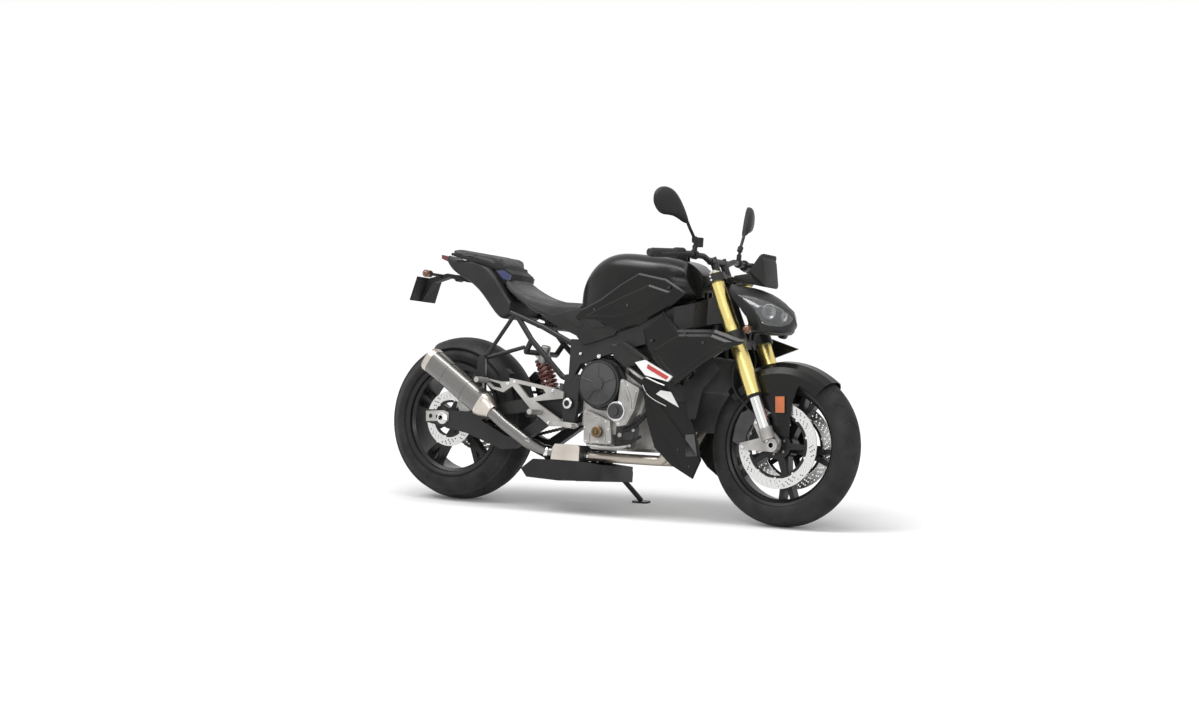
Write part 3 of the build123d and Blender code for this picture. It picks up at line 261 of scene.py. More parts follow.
# Each finish: light tone, dark tone, roughness from and to, and its grain per metre, depth and share of cells;
# a tone that is one number is a grey
finishes = {
    "paintBlack": ((0.010, 0.010, 0.009), 0.006, (0.18, 0.28), (700, 0.03, 0.0), {"shine": 0.24}),
    "trimBlack": ((0.018, 0.018, 0.017), 0.011, (0.42, 0.55), (1500, 0.25, 0.7), {"shine": 0.28}),
    "mouldedBlack": (0.015, 0.009, (0.50, 0.64), (1800, 0.35, 0.8), {"shine": 0.28}),
    "frameBlack": (0.020, 0.012, (0.34, 0.46), (900, 0.12, 0.2), {"shine": 0.34}),
    "tubeBlack": (0.016, 0.010, (0.30, 0.42), (800, 0.10, 0.1), {"shine": 0.34}),
    "rimBlack": (0.013, 0.008, (0.26, 0.38), (900, 0.08, 0.1), {"shine": 0.30}),
    "castSilver": ((0.52, 0.51, 0.49), (0.27, 0.26, 0.25), (0.38, 0.58), (1400, 0.40, 0.5), {"metallic": 0.9}),
    "castDark": (0.070, (0.040, 0.040, 0.041), (0.42, 0.56), (1200, 0.35, 0.5), {"metallic": 0.5}),
    "blockDark": ((0.045, 0.045, 0.046), (0.024, 0.024, 0.025), (0.48, 0.62), (1000, 0.40, 0.5), {"metallic": 0.4}),
    "polishedSteel": (0.78, 0.66, (0.08, 0.16), (600, 0.02, 0.0), {"metallic": 1.0}),
    "oiledSteel": ((0.36, 0.34, 0.31), (0.16, 0.15, 0.13), (0.28, 0.45), (900, 0.15, 0.2), {"metallic": 1.0}),
    "coreBlack": (0.030, 0.016, (0.45, 0.60), (900, 0.30, 0.3), {"metallic": 0.3}),
    "gripRubber": (0.020, 0.012, (0.66, 0.80), (500, 0.80, 1.0), {}),
    "stripeWhite": ((0.80, 0.80, 0.79), (0.72, 0.72, 0.71), (0.25, 0.35), (700, 0.03, 0.0), {"coat": 0.8}),
    "stripeRed": ((0.48, 0.020, 0.018), (0.36, 0.014, 0.013), (0.25, 0.35), (700, 0.03, 0.0), {"coat": 0.8}),
    "accentBlue": ((0.014, 0.020, 0.10), (0.009, 0.013, 0.07), (0.25, 0.38), (700, 0.04, 0.0), {"coat": 0.6}),
    "panelGrey": ((0.085, 0.085, 0.084), 0.060, (0.40, 0.52), (900, 0.10, 0.1), {"shine": 0.4}),
    "bronzeCap": ((0.27, 0.18, 0.10), (0.16, 0.11, 0.065), (0.28, 0.42), (900, 0.10, 0.1), {"metallic": 1.0}),
    "shieldSteel": ((0.66, 0.61, 0.55), (0.50, 0.45, 0.40), (0.30, 0.44), (900, 0.12, 0.1), {"metallic": 1.0}),
    "coreFins": (0.060, 0.030, (0.40, 0.55), (900, 0.10, 0.1), {"metallic": 0.6}),
    "springRed": ((0.22, 0.035, 0.020), (0.15, 0.022, 0.014), (0.30, 0.42), (700, 0.06, 0.1), {"coat": 0.5}),
    "tyreRubber": (0.018, 0.009, (0.62, 0.78), (1100, 0.5, 0.4), {"shine": 0.3, "cloud": 14.0}),
}
materials = {}


def startMaterial(name):
    material = bpy.data.materials.new(name)
    material.use_nodes = True
    materials[name] = material
    tree = material.node_tree
    return tree, tree.nodes["Principled BSDF"], addNode(tree, "ShaderNodeTexCoord").outputs["Object"]


def addGroup(tree, group, where, values):
    return addNode(tree, "ShaderNodeGroup", {"Coordinates": where, **values}, node_tree=group).outputs


def colourOf(tone):
    return (tone, tone, tone, 1) if isinstance(tone, float) else (*tone, 1)


def toneValues(light, dark, rough=None):
    values = {"Light Tone": colourOf(light), "Dark Tone": colourOf(dark)}
    return {**values, "Rough Low": rough[0], "Rough High": rough[1]} if rough else values


def addTone(tree, shader, where, scale, light, dark, rough):
    tone = addGroup(tree, surfaceTone, where, {"Scale": scale, **toneValues(light, dark, rough)})
    feedAll(tree, shader, {"Base Color": tone["Tone"], "Roughness": tone["Roughness"]})


def makeFinish(name, light, dark, rough, grain, extras):
    tree, shader, where = startMaterial(name)
    addTone(tree, shader, where, extras.get("cloud", 9.0), light, dark, rough)
    bumps = addGroup(tree, fineGrain, where, dict(zip(("Grains Per Metre", "Depth", "Cells"), grain)))
    feedAll(tree, shader, {"Normal": bumps["Normal"], "Metallic": extras.get("metallic", 0.0),
                           "Coat Weight": extras.get("coat", 0.0), "Coat Roughness": 0.06,
                           "Specular IOR Level": extras.get("shine", 0.5)})


# Turned and brushed steel: fine lines, laid round an axle or along a tube
linedFacts = {
    "turned": {"frontDiscSteel": bike["frontAxle"], "rearDiscSteel": bike["rearAxle"]},
    "brushed": {
        "silencerSteel": ((leanTurn, math.radians(-57.8), 0), (900.0, 900.0, 30.0), (0.27, 0.265, 0.255),
                          (0.15, 0.145, 0.14), (0.20, 0.36)),
        "headerSteel": ((0, 0, 0), (30.0, 500.0, 500.0), (0.50, 0.46, 0.40), (0.33, 0.29, 0.25), (0.26, 0.42)),
        "goldTube": ((leanTurn, math.radians(-24.5), 0), (120.0, 120.0, 1400.0), (0.86, 0.72, 0.30),
                     (0.74, 0.59, 0.20), (0.22, 0.34)),
    },
}


def makeLined(name, group, place, turn, values, depth, metallic):
    tree, shader, where = startMaterial(name)
    laid = addNode(tree, "ShaderNodeMapping", {"Vector": where, "Location": place, "Rotation": turn},
                   vector_type="TEXTURE")
    lines = addGroup(tree, group, laid.outputs[0], values)
    feedAll(tree, shader, {"Base Color": lines["Tone"], "Roughness": lines["Roughness"], "Metallic": metallic,
                           "Normal": addBump(tree, lines["Height"], depth, 0.0003)})


def makeSeatLeather():
    tree, shader, where = startMaterial("seatLeather")
    addTone(tree, shader, where, 18.0, 0.020, 0.011, (0.46, 0.60))
    cells = addNode(tree, "ShaderNodeTexVoronoi", {"Vector": where, "Scale": 420.0}, feature="DISTANCE_TO_EDGE")
    crease = mapRange(tree, cells.outputs["Distance"], 0.0, 1.0, 0.0, 0.18)
    feedAll(tree, shader, {"Normal": addBump(tree, crease, 0.45, 0.0005), "Sheen Weight": 0.1})


# Each glass: tint, share of light let through, roughness, coat and metal
glasses = {
    "smokedGlass": ((0.62, 0.63, 0.64), 0.92, 0.02, 0.0, 0.0), "clearLens": ((0.86, 0.88, 0.90), 0.9, 0.02, 0.0, 0.0),
    "tailRed": ((0.16, 0.008, 0.008), 0.35, 0.12, 0.8, 0.0),
    "indicatorAmber": ((0.22, 0.07, 0.015), 0.30, 0.15, 0.6, 0.0),
    "reflectorOrange": ((0.56, 0.14, 0.035), 0.10, 0.30, 0.5, 0.0),
    "displayGlass": ((0.010, 0.011, 0.013), 0.0, 0.05, 1.0, 0.0),
    "mirrorGlass": ((0.62, 0.64, 0.66), 0.0, 0.03, 0.0, 1.0),
}


def makeGlass(name, tint, through, rough, coat, metallic):
    tree, shader, where = startMaterial(name)
    addTone(tree, shader, where, 20.0, tint, [tone * 0.85 for tone in tint], (rough, rough + 0.05))
    feedAll(tree, shader, {"Transmission Weight": through, "IOR": 1.5, "Coat Weight": coat, "Metallic": metallic})


for finishName, finishRow in finishes.items():
    makeFinish(finishName, *finishRow)
for finishName, axle in linedFacts["turned"].items():
    makeLined(finishName, turnedRings, rowPoint(axle[0], 0, axle[1]), (leanTurn, 0, 0),
              {"Rings Per Metre": 1800.0, **toneValues((0.80, 0.80, 0.79), (0.60, 0.60, 0.59))}, 0.12, 0.9)
for finishName, (turn, stretch, *tones) in linedFacts["brushed"].items():
    makeLined(finishName, brushLines, (0, 0, 0), turn, {"Stretch": stretch, **toneValues(*tones)}, 0.10, 1.0)
makeSeatLeather()
for finishName, glassRow in glasses.items():
    makeGlass(finishName, *glassRow)
print("finishes ready:", len(materials))

# Which solids of the frame each finish covers, and which finishes each of the record's slots takes
solidsOf = {
    "frameBlack": "main_frame swingarm fork_yokes handlebar", "tubeBlack": "subframe side_stand",
    "castSilver": "crankcase shock_absorber rear_caliper footrest_brackets foot_pegs fork_legs foot_controls",
    "blockDark": "cylinder_head collector_box", "castDark": "engine_covers front_calipers", "coreBlack": "radiator",
    "headerSteel": "exhaust_headers", "silencerSteel": "silencer",
    "paintBlack": "fuel_tank side_trims side_shrouds belly_spoiler front_mudguard",
    "seatLeather": "rider_seat pillion_seat", "trimBlack": "tail_cowl headlamp_shell instrument_display air_ducts",
    "mouldedBlack": "plate_bracket rear_hugger hand_controls mirrors front_indicators fuel_cap brake_hoses belly_cover",
    "tailRed": "tail_light", "oiledSteel": "drive_chain rear_sprocket", "goldTube": "fork_tubes",
    "polishedSteel": "rear_axle_shaft front_axle_shaft", "gripRubber": "hand_grips", "smokedGlass": "headlamp_lens",
    "rimBlack": "front_rim rear_rim", "tyreRubber": "front_tyre rear_tyre", "frontDiscSteel": "front_discs",
    "rearDiscSteel": "rear_disc",
}
finishOf = {solid: finish for finish, names in solidsOf.items() for solid in names.split()}
for nodeName, node in nodes.items():
    node.data.materials.clear()
    node.data.materials.append(materials[finishOf[nodeName]])
print("frame solids dressed:", len(nodes))


# Mesh helpers; points are in mm on the upright machine until dressMesh leans them over
def cleanMesh(mesh, weld=0.0, faceOut=True):
    bm = bmesh.new()
    bm.from_mesh(mesh)
    if weld:
        bmesh.ops.remove_doubles(bm, verts=bm.verts, dist=weld)
    if faceOut:
        bmesh.ops.recalc_face_normals(bm, faces=bm.faces)
    bm.to_mesh(mesh)
    bm.free()
    return mesh


def bakedMesh(holder):
    return bpy.data.meshes.new_from_object(holder.evaluated_get(bpy.context.evaluated_depsgraph_get()))


def dressMesh(name, mesh, finish, body="root", smooth=True, clean=True, replaced=None):
    if clean:
        cleanMesh(mesh, 0.01)
    mesh.transform(rowFromBike)
    mesh.materials.clear()
    mesh.materials.append(materials[finish])
    mesh.polygons.foreach_set("use_smooth", [smooth] * len(mesh.polygons))
    if smooth:
        mesh.set_sharp_from_angle(angle=math.radians(32))
    piece = addObject(name, mesh)
    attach(piece, body)
    if replaced:
        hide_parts(replaced)


def joinMeshes(name, meshes):
    bm = bmesh.new()
    for mesh in meshes:
        bm.from_mesh(mesh)
        bpy.data.meshes.remove(mesh)
    joined = bpy.data.meshes.new(name)
    bm.to_mesh(joined)
    bm.free()
    return joined


def fitPiece(name, meshes, finish, body="root", smooth=True, replaced=None):
    dressMesh(name, joinMeshes(name, meshes), finish, body, smooth, replaced=replaced)


def bothSides(meshes):
    pairs = []
    for mesh in meshes:
        other = mesh.copy()
        other.transform(Matrix.Scale(-1, 4, across))
        pairs += [mesh, other]
    return pairs


def meshFrom(points, faces):
    mesh = bpy.data.meshes.new("shape")
    mesh.from_pydata([tuple(p) for p in points], [], faces)
    return mesh


def loftLoops(loops, capped=True, closed=False):
    count = len(loops[0])
    points = [p for loop in loops for p in loop]
    faces = []
    for row in range(len(loops) if closed else len(loops) - 1):
        following = (row + 1) % len(loops)
        for index in range(count):
            after = (index + 1) % count
            faces.append((row * count + index, row * count + after, following * count + after,
                          following * count + index))
    if capped and not closed:
        faces += [tuple(range(count)), tuple(range(len(points) - count, len(points)))]
    return meshFrom(points, faces)


def ringPoints(centre, side, other, radius, steps):
    angles = [2 * math.pi * i / steps for i in range(steps)]
    return [centre + (side * math.cos(angle) + other * math.sin(angle)) * radius for angle in angles]


def turned(profile, start, direction=across, steps=24, closed=False):
    start, ahead = Vector(start), Vector(direction).normalized()
    side = ahead.orthogonal().normalized()
    other = ahead.cross(side)
    return loftLoops([ringPoints(start + ahead * distance, side, other, radius, steps) for distance, radius in profile],
                     capped=False, closed=closed)


def latheRing(profile, axle, steps, cut=None):
    loops = []
    for step in range(steps):
        angle = 2 * math.pi * step / steps
        reach = [(y, radius - (cut(angle, y, index) if cut else 0)) for index, (y, radius) in enumerate(profile)]
        loops.append([(axle[0] + r * math.cos(angle), y, axle[1] + r * math.sin(angle)) for y, r in reach])
    return loftLoops(loops, closed=True)


def smoothPath(points, steps):
    path = []
    last = len(points) - 1
    for index in range(last):
        before, first = points[max(index - 1, 0)], points[index]
        second, after = points[index + 1], points[min(index + 2, last)]
        for step in range(steps):
            t = step / steps
            path.append((first * 2 + (second - before) * t + (before * 2 - first * 5 + second * 4 - after) * t ** 2
                         + (first * 3 - before - second * 3 + after) * t ** 3) / 2)
    return path + [points[last]]


def tubeAlong(points, radius, sides=10, steps=6):
    path = smoothPath([Vector(p) for p in points], steps)
    loops = []
    side = None
    for index, point in enumerate(path):
        ahead = (path[min(index + 1, len(path) - 1)] - path[max(index - 1, 0)]).normalized()
        side = ahead.orthogonal() if side is None else side - ahead * side.dot(ahead)
        side.normalize()
        loops.append(ringPoints(point, side, ahead.cross(side), radius, sides))
    return loftLoops(loops)


def circlePoints(x, z, radius, count, start=0.0):
    angles = [start + 2 * math.pi * i / count for i in range(count)]
    return [(x + radius * math.cos(angle), z + radius * math.sin(angle)) for angle in angles]


def platedMesh(outlines, thickness, y, axle=(0, 0), ease=0.0):
    curve = bpy.data.curves.new("plate", "CURVE")
    curve.dimensions = "2D"
    curve.fill_mode = "BOTH"
    curve.extrude = thickness / 2 - ease
    curve.bevel_depth = ease
    curve.bevel_resolution = 1 if ease else 0
    curve.offset = -ease
    for outline in outlines:
        spline = curve.splines.new("POLY")
        spline.points.add(len(outline) - 1)
        for point, (x, z) in zip(spline.points, outline):
            point.co = (x, z, 0, 1)
        spline.use_cyclic_u = True
    holder = addObject("plate", curve)
    mesh = bakedMesh(holder)
    bpy.data.objects.remove(holder)
    bpy.data.curves.remove(curve)
    mesh.transform(Matrix.Translation((axle[0], y, axle[1])) @ Matrix.Rotation(math.radians(90), 4, "X"))
    return mesh


def plate(outline, yLow, yHigh, ease=0.8, holes=()):
    return platedMesh([outline, *holes], yHigh - yLow, (yLow + yHigh) / 2, ease=ease)


def panel(outline, thickness):
    corners = [Vector(p) for p in outline]
    middle = sum(corners, Vector()) / len(corners)
    facing = sum(((a - middle).cross(b - middle) for a, b in zip(corners, corners[1:] + corners[:1])), Vector())
    facing.normalize()
    if facing.y > 0:
        facing = -facing
    eased = [middle + (p - middle) * 0.985 for p in corners]
    return loftLoops([[p - facing * thickness for p in corners], [p - facing * 0.6 for p in corners], eased])


def roundedLoop(width, height, corner, place, sideways, upward, steps=5):
    loop = []
    for quarter, (signX, signY) in enumerate(((1, 1), (-1, 1), (-1, -1), (1, -1))):
        for step in range(steps + 1):
            angle = math.pi / 2 * (quarter + step / steps)
            x = signX * (width / 2 - corner) + corner * math.cos(angle)
            y = signY * (height / 2 - corner) + corner * math.sin(angle)
            loop.append(place + sideways * x + upward * y)
    return loop


def fitPlates(table, body="root"):
    for name, (finish, mirrored, shapes) in table.items():
        meshes = [plate(*shape) for shape in shapes]
        fitPiece(name, bothSides(meshes) if mirrored else meshes, finish, body)


# Tyres: round crowns with cut tread, lying over the rims' flanges
tyreFacts = {
    "front": {"outer": 300.0, "width": 120.0, "crown": 60.5, "rimHalf": 50.0, "axle": bike["frontAxle"],
              "pitches": 14, "rows": 36},
    "rear": {"outer": 319.0, "width": 190.0, "crown": 104.5, "rimHalf": 84.0, "axle": bike["rearAxle"],
             "pitches": 13, "rows": 44},
    "steps": 840, "grooveDepth": 2.6, "grooveHalf": 2.4, "grooveEdge": 1.2, "fade": 0.06,
    "flangeIn": 6.3, "flange": 229.3, "bead": 219.3, "beadWide": 9, "wallFoot": 232,
    "grooves": ((0.10, 0.55, 0.10, 0.62), (0.42, -0.30, 0.34, 0.86), (0.74, 0.42, 0.50, 0.92)),
}


def tyreProfile(facts):
    crown, half = facts["crown"], facts["width"] / 2
    middle = facts["outer"] - crown
    reach = math.asin(min(1.0, half / crown))
    angles = [-reach + 2 * reach * row / facts["rows"] for row in range(facts["rows"] + 1)]
    outer = [(crown * math.sin(angle), middle + crown * math.cos(angle)) for angle in angles]
    shoulder = outer[-1][1]
    side = facts["rimHalf"] - tyreFacts["flangeIn"]
    wall = [(half - 0.5, shoulder - 10), (half - 5, shoulder - 22), (side + 6, tyreFacts["wallFoot"]),
            (side, tyreFacts["flange"]), (side, tyreFacts["bead"]), (side - tyreFacts["beadWide"], tyreFacts["bead"]),
            (half - 12, shoulder - 8), (half - 30, middle + crown - 16)]
    return outer + wall + [(-y, r) for y, r in reversed(wall)], len(outer)


def treadCut(facts, treadRows):
    depth, half, edge, fadeOver = (tyreFacts[k] for k in ("grooveDepth", "grooveHalf", "grooveEdge", "fade"))
    circle = 2 * math.pi * facts["outer"]
    pitch = circle / facts["pitches"]

    def cut(angle, y, index):
        if index >= treadRows:
            return 0.0
        onward = (angle / (2 * math.pi) * circle + (0 if y >= 0 else pitch / 2)) % pitch
        outward = abs(y) / (facts["width"] / 2)
        deepest = 0.0
        for start, slope, low, high in tyreFacts["grooves"]:
            if not low <= outward <= high:
                continue
            middle = (start + slope * (outward - low)) * pitch
            distance = min(abs(onward - middle), pitch - abs(onward - middle))
            fade = min(1.0, (outward - low) / fadeOver, (high - outward) / fadeOver)
            wide = half * (0.6 + 0.6 * fade) + edge
            if distance < wide:
                deepest = max(deepest, depth * fade * min(1.0, (wide - distance) / edge))
        return deepest
    return cut


def makeTyres():
    for end in ("front", "rear"):
        facts = tyreFacts[end]
        profile, treadRows = tyreProfile(facts)
        tyre = latheRing(profile, facts["axle"], tyreFacts["steps"], treadCut(facts, treadRows))
        dressMesh(end + "TyreTread", tyre, "tyreRubber", end + "_wheel", replaced=end + "_tyre")


makeTyres()
print("tyres cut")

# Brake discs: drilled rings on arms, with round bobbins between
discFacts = {
    "front": {"name": "frontDrilledDiscs", "axle": bike["frontAxle"], "y": 66.0, "sides": (1, -1), "outer": 160.0,
              "inner": 122.0, "hub": 45.0, "boss": 61.3, "bobbins": 10, "rows": 4, "columns": 44, "hole": 3.0,
              "steel": "frontDiscSteel", "replaced": "front_discs"},
    "rear": {"name": "rearDrilledDisc", "axle": bike["rearAxle"], "y": 100.0, "sides": (-1,), "outer": 110.0,
             "inner": 76.0, "hub": 36.0, "boss": 92.3, "bobbins": 6, "rows": 3, "columns": 32, "hole": 3.2,
             "steel": "rearDiscSteel", "replaced": "rear_disc"},
    "arms": 5, "bore": 18.5, "ringThick": 4.5, "carrierThick": 3.7,
    "bobbin": ((-3.0, 0.01), (-3.0, 5.2), (3.4, 5.2), (3.4, 2.2), (2.4, 0.01)),
}


def discOutlines(facts):
    outer, inner, columns = facts["outer"], facts["inner"], facts["columns"]
    outlines = [circlePoints(0, 0, outer, 144), circlePoints(0, 0, inner, 120)]
    for row in range(facts["rows"]):
        radius = inner + 6 + (outer - inner - 12) * (row + 0.5) / facts["rows"]
        for column in range(columns):
            if (column + row) % 4 != 3:
                angle = 2 * math.pi * (column + row * 0.25) / columns
                outlines.append(circlePoints(radius * math.cos(angle), radius * math.sin(angle), facts["hole"], 8))
    return outlines


def carrierOutlines(facts):
    outer = facts["inner"] - 2
    half = math.pi / discFacts["arms"]
    outlines = [circlePoints(0, 0, outer, 120), circlePoints(0, 0, discFacts["bore"], 40)]
    low, high = facts["hub"] + 6, outer - 10
    for arm in range(discFacts["arms"]):
        middle = 2 * half * (arm + 0.5)
        corners = [(high, middle + (half - 9 / high) * (step / 4 - 1)) for step in range(9)]
        corners += [(low, middle + (half - 13 / low) * (1 - step / 2)) for step in range(5)]
        outlines.append([(radius * math.cos(angle), radius * math.sin(angle)) for radius, angle in corners])
    return outlines


def makeDiscs(end):
    facts = discFacts[end]
    axle, hub, bore = facts["axle"], facts["hub"], discFacts["bore"]
    steel, carrier = [], []
    for side in facts["sides"]:
        y = facts["y"] * side
        steel.append(platedMesh(discOutlines(facts), discFacts["ringThick"], y, axle))
        carrier.append(platedMesh(carrierOutlines(facts), discFacts["carrierThick"], y, axle))
        boss = side * facts["boss"]
        carrier.append(latheRing([(boss, bore), (boss, hub), (y, hub), (y, bore)], axle, 48))
        button = [(y + side * reach, radius) for reach, radius in discFacts["bobbin"]]
        for x, z in circlePoints(0, 0, facts["inner"] - 1, facts["bobbins"], 0.3):
            steel.append(latheRing(button, (axle[0] + x, axle[1] + z), 14))
    fitPiece(facts["name"], steel, facts["steel"], end + "_wheel", replaced=facts["replaced"])
    fitPiece(facts["name"] + "Carriers", carrier, "rimBlack", end + "_wheel")


makeDiscs("front")
makeDiscs("rear")
print("discs drilled")

# The steering axis, and points given by height along it, distance ahead of it and distance to the left
steer = {"foot": Vector((1546, 0, 0)), "up": Vector((-0.414693, 0, 0.909961)), "ahead": Vector((0.909961, 0, 0.414693)),
         "yokeFace": 40.3, "stayY": 18, "stayHalf": 6}


def steerPoint(up, ahead, y):
    return steer["foot"] + steer["up"] * up + steer["ahead"] * ahead + Vector((0, y, 0))


def pairOfStays(rail, ease):
    half = steer["stayHalf"]
    return [plate(rail, y - half, y + half, ease) for y in (-steer["stayY"], steer["stayY"])]


# Fork: hexagon caps, dust seals and bright inner tubes
forkFacts = {
    "spacing": 107.0, "offset": 30.0,
    "forkTopCaps": ("polishedSteel", 1003.0, (([(0, 0), (0, 22), (3, 22), (4.5, 20), (4.5, 12.5), (5, 0)], 24, False),
                    ([(4, 0), (4, 13), (10, 13), (11.5, 11.5), (11.5, 5), (8, 4), (8, 0)], 6, False))),
    "forkDustSeals": ("mouldedBlack", 505.0, (([(0, 22.9), (0, 25.5), (3, 27), (4.5, 26), (6, 27.6), (12, 28),
                                                (12, 22.9)], 32, True),)),
    "forkBrightTubes": ("polishedSteel", 372.0, (([(0, 22.35), (0, 22.75), (141, 22.75), (141, 22.35)], 40, True),)),
}


def makeForkFittings():
    for name in ("forkTopCaps", "forkDustSeals", "forkBrightTubes"):
        finish, up, shapes = forkFacts[name]
        places = [steerPoint(up, forkFacts["offset"], side * forkFacts["spacing"]) for side in (-1, 1)]
        fitPiece(name, [turned(profile, place, steer["up"], steps, closed) for place in places
                        for profile, steps, closed in shapes], finish, "steering")


makeForkFittings()

# Grips: ribbed rubber sleeves with bar end weights
gripFacts = {"barEnd": Vector((1051.86, -400, 975)), "barBend": Vector((1096.86, -230, 989)), "length": 125.0,
             "bore": 11.1, "low": 16.2, "tall": 17.3, "collar": 19.5, "ribs": 26, "ribFrom": 7, "steps": 28,
             "rib": ((0, 16.2), (0.35, 16.2), (0.5, 17.3), (0.85, 17.3)),
             "weight": ((-14, 0), (-14, 12), (-12, 14.5), (-1.5, 15.5), (-0.5, 14), (-0.5, 0))}


def makeGrips():
    bore, low, tall, collar, length = (gripFacts[k] for k in ("bore", "low", "tall", "collar", "length"))
    towards = gripFacts["barBend"] - gripFacts["barEnd"]
    pitch = (length - 2 * gripFacts["ribFrom"]) / gripFacts["ribs"]
    profile = [(0, bore), (0, low), (4, tall), (6, tall)]
    for rib in range(gripFacts["ribs"]):
        start = gripFacts["ribFrom"] + rib * pitch
        profile += [(start + pitch * share, radius) for share, radius in gripFacts["rib"]]
    profile += [(length - 6, low), (length - 5, collar), (length, collar), (length, bore)]
    sleeve = turned(profile, gripFacts["barEnd"], towards, gripFacts["steps"], closed=True)
    fitPiece("ribbedGrips", bothSides([sleeve]), "gripRubber", "steering", replaced="hand_grips")
    weight = turned(gripFacts["weight"], gripFacts["barEnd"], towards, gripFacts["steps"])
    fitPiece("barEndWeights", bothSides([weight]), "frameBlack", "steering")


makeGrips()

# Headlamps: a rounded mask with a curved smoked lens on each side, and two bowls behind each lens
maskFacts = {
    "bulge": 180.0, "columns": 28, "wallBack": 4.0, "glassFrom": -133.0, "glassTo": -10.0, "glassThick": 3.0,
    "recess": 34.0, "glassRows": 10, "glassColumns": 24,
    "levels": ((716, 1432, 108, 1352), (724, 1442, 114, 1348), (753, 1450, 124, 1326), (780, 1446, 129, 1302),
               (803, 1433, 133, 1284), (832, 1400, 136, 1258), (850, 1372, 134, 1246), (865, 1341, 126, 1234),
               (878, 1302, 110, 1226), (885, 1270, 92, 1222)),
    "glassTop": ((-133, 848), (-118, 850), (-95, 842), (-70, 829), (-45, 808), (-25, 790), (-10, 776)),
    "glassLow": ((-133, 838), (-126, 790), (-116, 747), (-95, 738), (-60, 739), (-30, 751), (-10, 771)),
    "bowls": ((-92, 792, 27), (-47, 778, 17)), "rings": 7, "behindGlass": -7, "bowlDepth": 0.62, "bowlRim": 1.2,
    "bed": ((-2, 0), (-2, 0.62), (3, 0.55), (4, 0)),
    "eye": ((4, 0, 0), (4, 0, 0.46), (7, 0, 0.46), (9, 0.1, 0.34), (10, 0.18, 0.16), (10.5, 0.2, 0)),
    "stay": ((733, steer["yokeFace"]), (760, steer["yokeFace"]), (880, 104), (846, 112)),
    "crossStay": ((1318, 712), (1362, 712), (1366, 760), (1314, 760)), "brow": (-124, -100, -75, -50, -30),
}


def readTable(table, at):
    for before, after in zip(table, table[1:]):
        if before[0] <= at <= after[0]:
            return before[1] + (after[1] - before[1]) * (at - before[0]) / (after[0] - before[0])
    return table[0][1] if at < table[0][0] else table[-1][1]


def maskPoint(y, z, lift=0.0):
    facing = Vector((1, 2 * y / maskFacts["bulge"], 0)).normalized()
    return Vector((readTable(maskFacts["levels"], z) - y * y / maskFacts["bulge"], y, z)) + facing * lift


def maskGlass(grow, outer, inner):
    rows, columns = maskFacts["glassRows"], maskFacts["glassColumns"]
    first, last = maskFacts["glassFrom"] - grow, maskFacts["glassTo"] + grow
    ys = [first + (last - first) * i / columns for i in range(columns + 1)]
    loops = []
    for share in (row / rows for row in range(rows + 1)):
        zs = [(readTable(maskFacts["glassLow"], y) - grow) * (1 - share)
              + (readTable(maskFacts["glassTop"], y) + grow) * share for y in ys]
        spots = list(zip(ys, zs))
        loops.append([maskPoint(y, z, outer) for y, z in spots] + [maskPoint(y, z, inner) for y, z in reversed(spots)])
    return loftLoops(loops)


def cutAway(mesh, cutters):
    holder = addObject("holder", mesh)
    helpers = [addObject("cutter", cutter) for cutter in cutters]
    for helper in helpers:
        cut = holder.modifiers.new("cut", "BOOLEAN")
        cut.operation = "DIFFERENCE"
        cut.solver = "EXACT"
        cut.object = helper
    result = bakedMesh(holder)
    for item in helpers + [holder]:
        bpy.data.objects.remove(item)
    return result


def makeMask():
    bulge, columns, wall = maskFacts["bulge"], maskFacts["columns"], maskFacts["wallBack"]
    loops = []
    for z, nose, wide, back in maskFacts["levels"]:
        ys = [-wide + 2 * wide * i / columns for i in range(columns + 1)]
        loops.append([Vector((nose - y * y / bulge, y, z)) for y in ys]
                     + [Vector((back, wide - wall, z)), Vector((back, wall - wide, z))])
    holes = [cleanMesh(mesh) for mesh in bothSides([maskGlass(0, 12, -maskFacts["recess"])])]
    shell = cutAway(cleanMesh(loftLoops(loops)), holes)
    rail = [steerPoint(up, ahead, 0) for up, ahead in maskFacts["stay"]]
    stays = pairOfStays([(p.x, p.z) for p in rail], 1.0) + [plate(maskFacts["crossStay"], -70, 70, 1.0)]
    fitPiece("headlampMask", [shell] + stays, "trimBlack", "steering", replaced="headlamp_shell")
    glass = maskGlass(-0.6, maskFacts["glassThick"], 0.0)
    fitPiece("headlampGlass", bothSides([glass]), "smokedGlass", "steering", replaced="headlamp_lens")


def makeBowls():
    bowls, eyes, beds = [], [], []
    rings, depth = maskFacts["rings"], maskFacts["bowlDepth"]
    for y, z, radius in maskFacts["bowls"]:
        facing = Vector((1, 1.6 * y / maskFacts["bulge"], 0)).normalized()
        mouth = maskPoint(y, z, maskFacts["behindGlass"])
        core = mouth - facing * radius * 0.60
        inner = [(-(1 - (r / radius) ** 2) * radius * depth, r) for r in
                 [radius * (1 - i / rings * 0.8) for i in range(rings + 1)]]
        rim = radius + maskFacts["bowlRim"]
        bowl = [(0.0, rim)] + inner + [(-radius * depth - 2, inner[-1][1]), (-radius * 0.35, rim)]
        bowls.append(turned(bowl, mouth, facing, 36, closed=True))
        beds.append(turned([(at, radius * wide) for at, wide in maskFacts["bed"]], core, facing))
        eyes.append(turned([(at + radius * deep, radius * wide) for at, deep, wide in maskFacts["eye"]], core, facing))
    brow = [maskPoint(y, readTable(maskFacts["glassTop"], y) - 7, -6) for y in maskFacts["brow"]]
    for name, meshes, finish in (("headlampBowls", bowls, "polishedSteel"), ("headlampBeds", beds, "castDark"),
                                 ("headlampEyes", eyes, "clearLens"),
                                 ("headlampBrows", [tubeAlong(brow, 2.0, 8)], "polishedSteel")):
        fitPiece(name, bothSides(meshes), finish, "steering")


makeMask()
makeBowls()

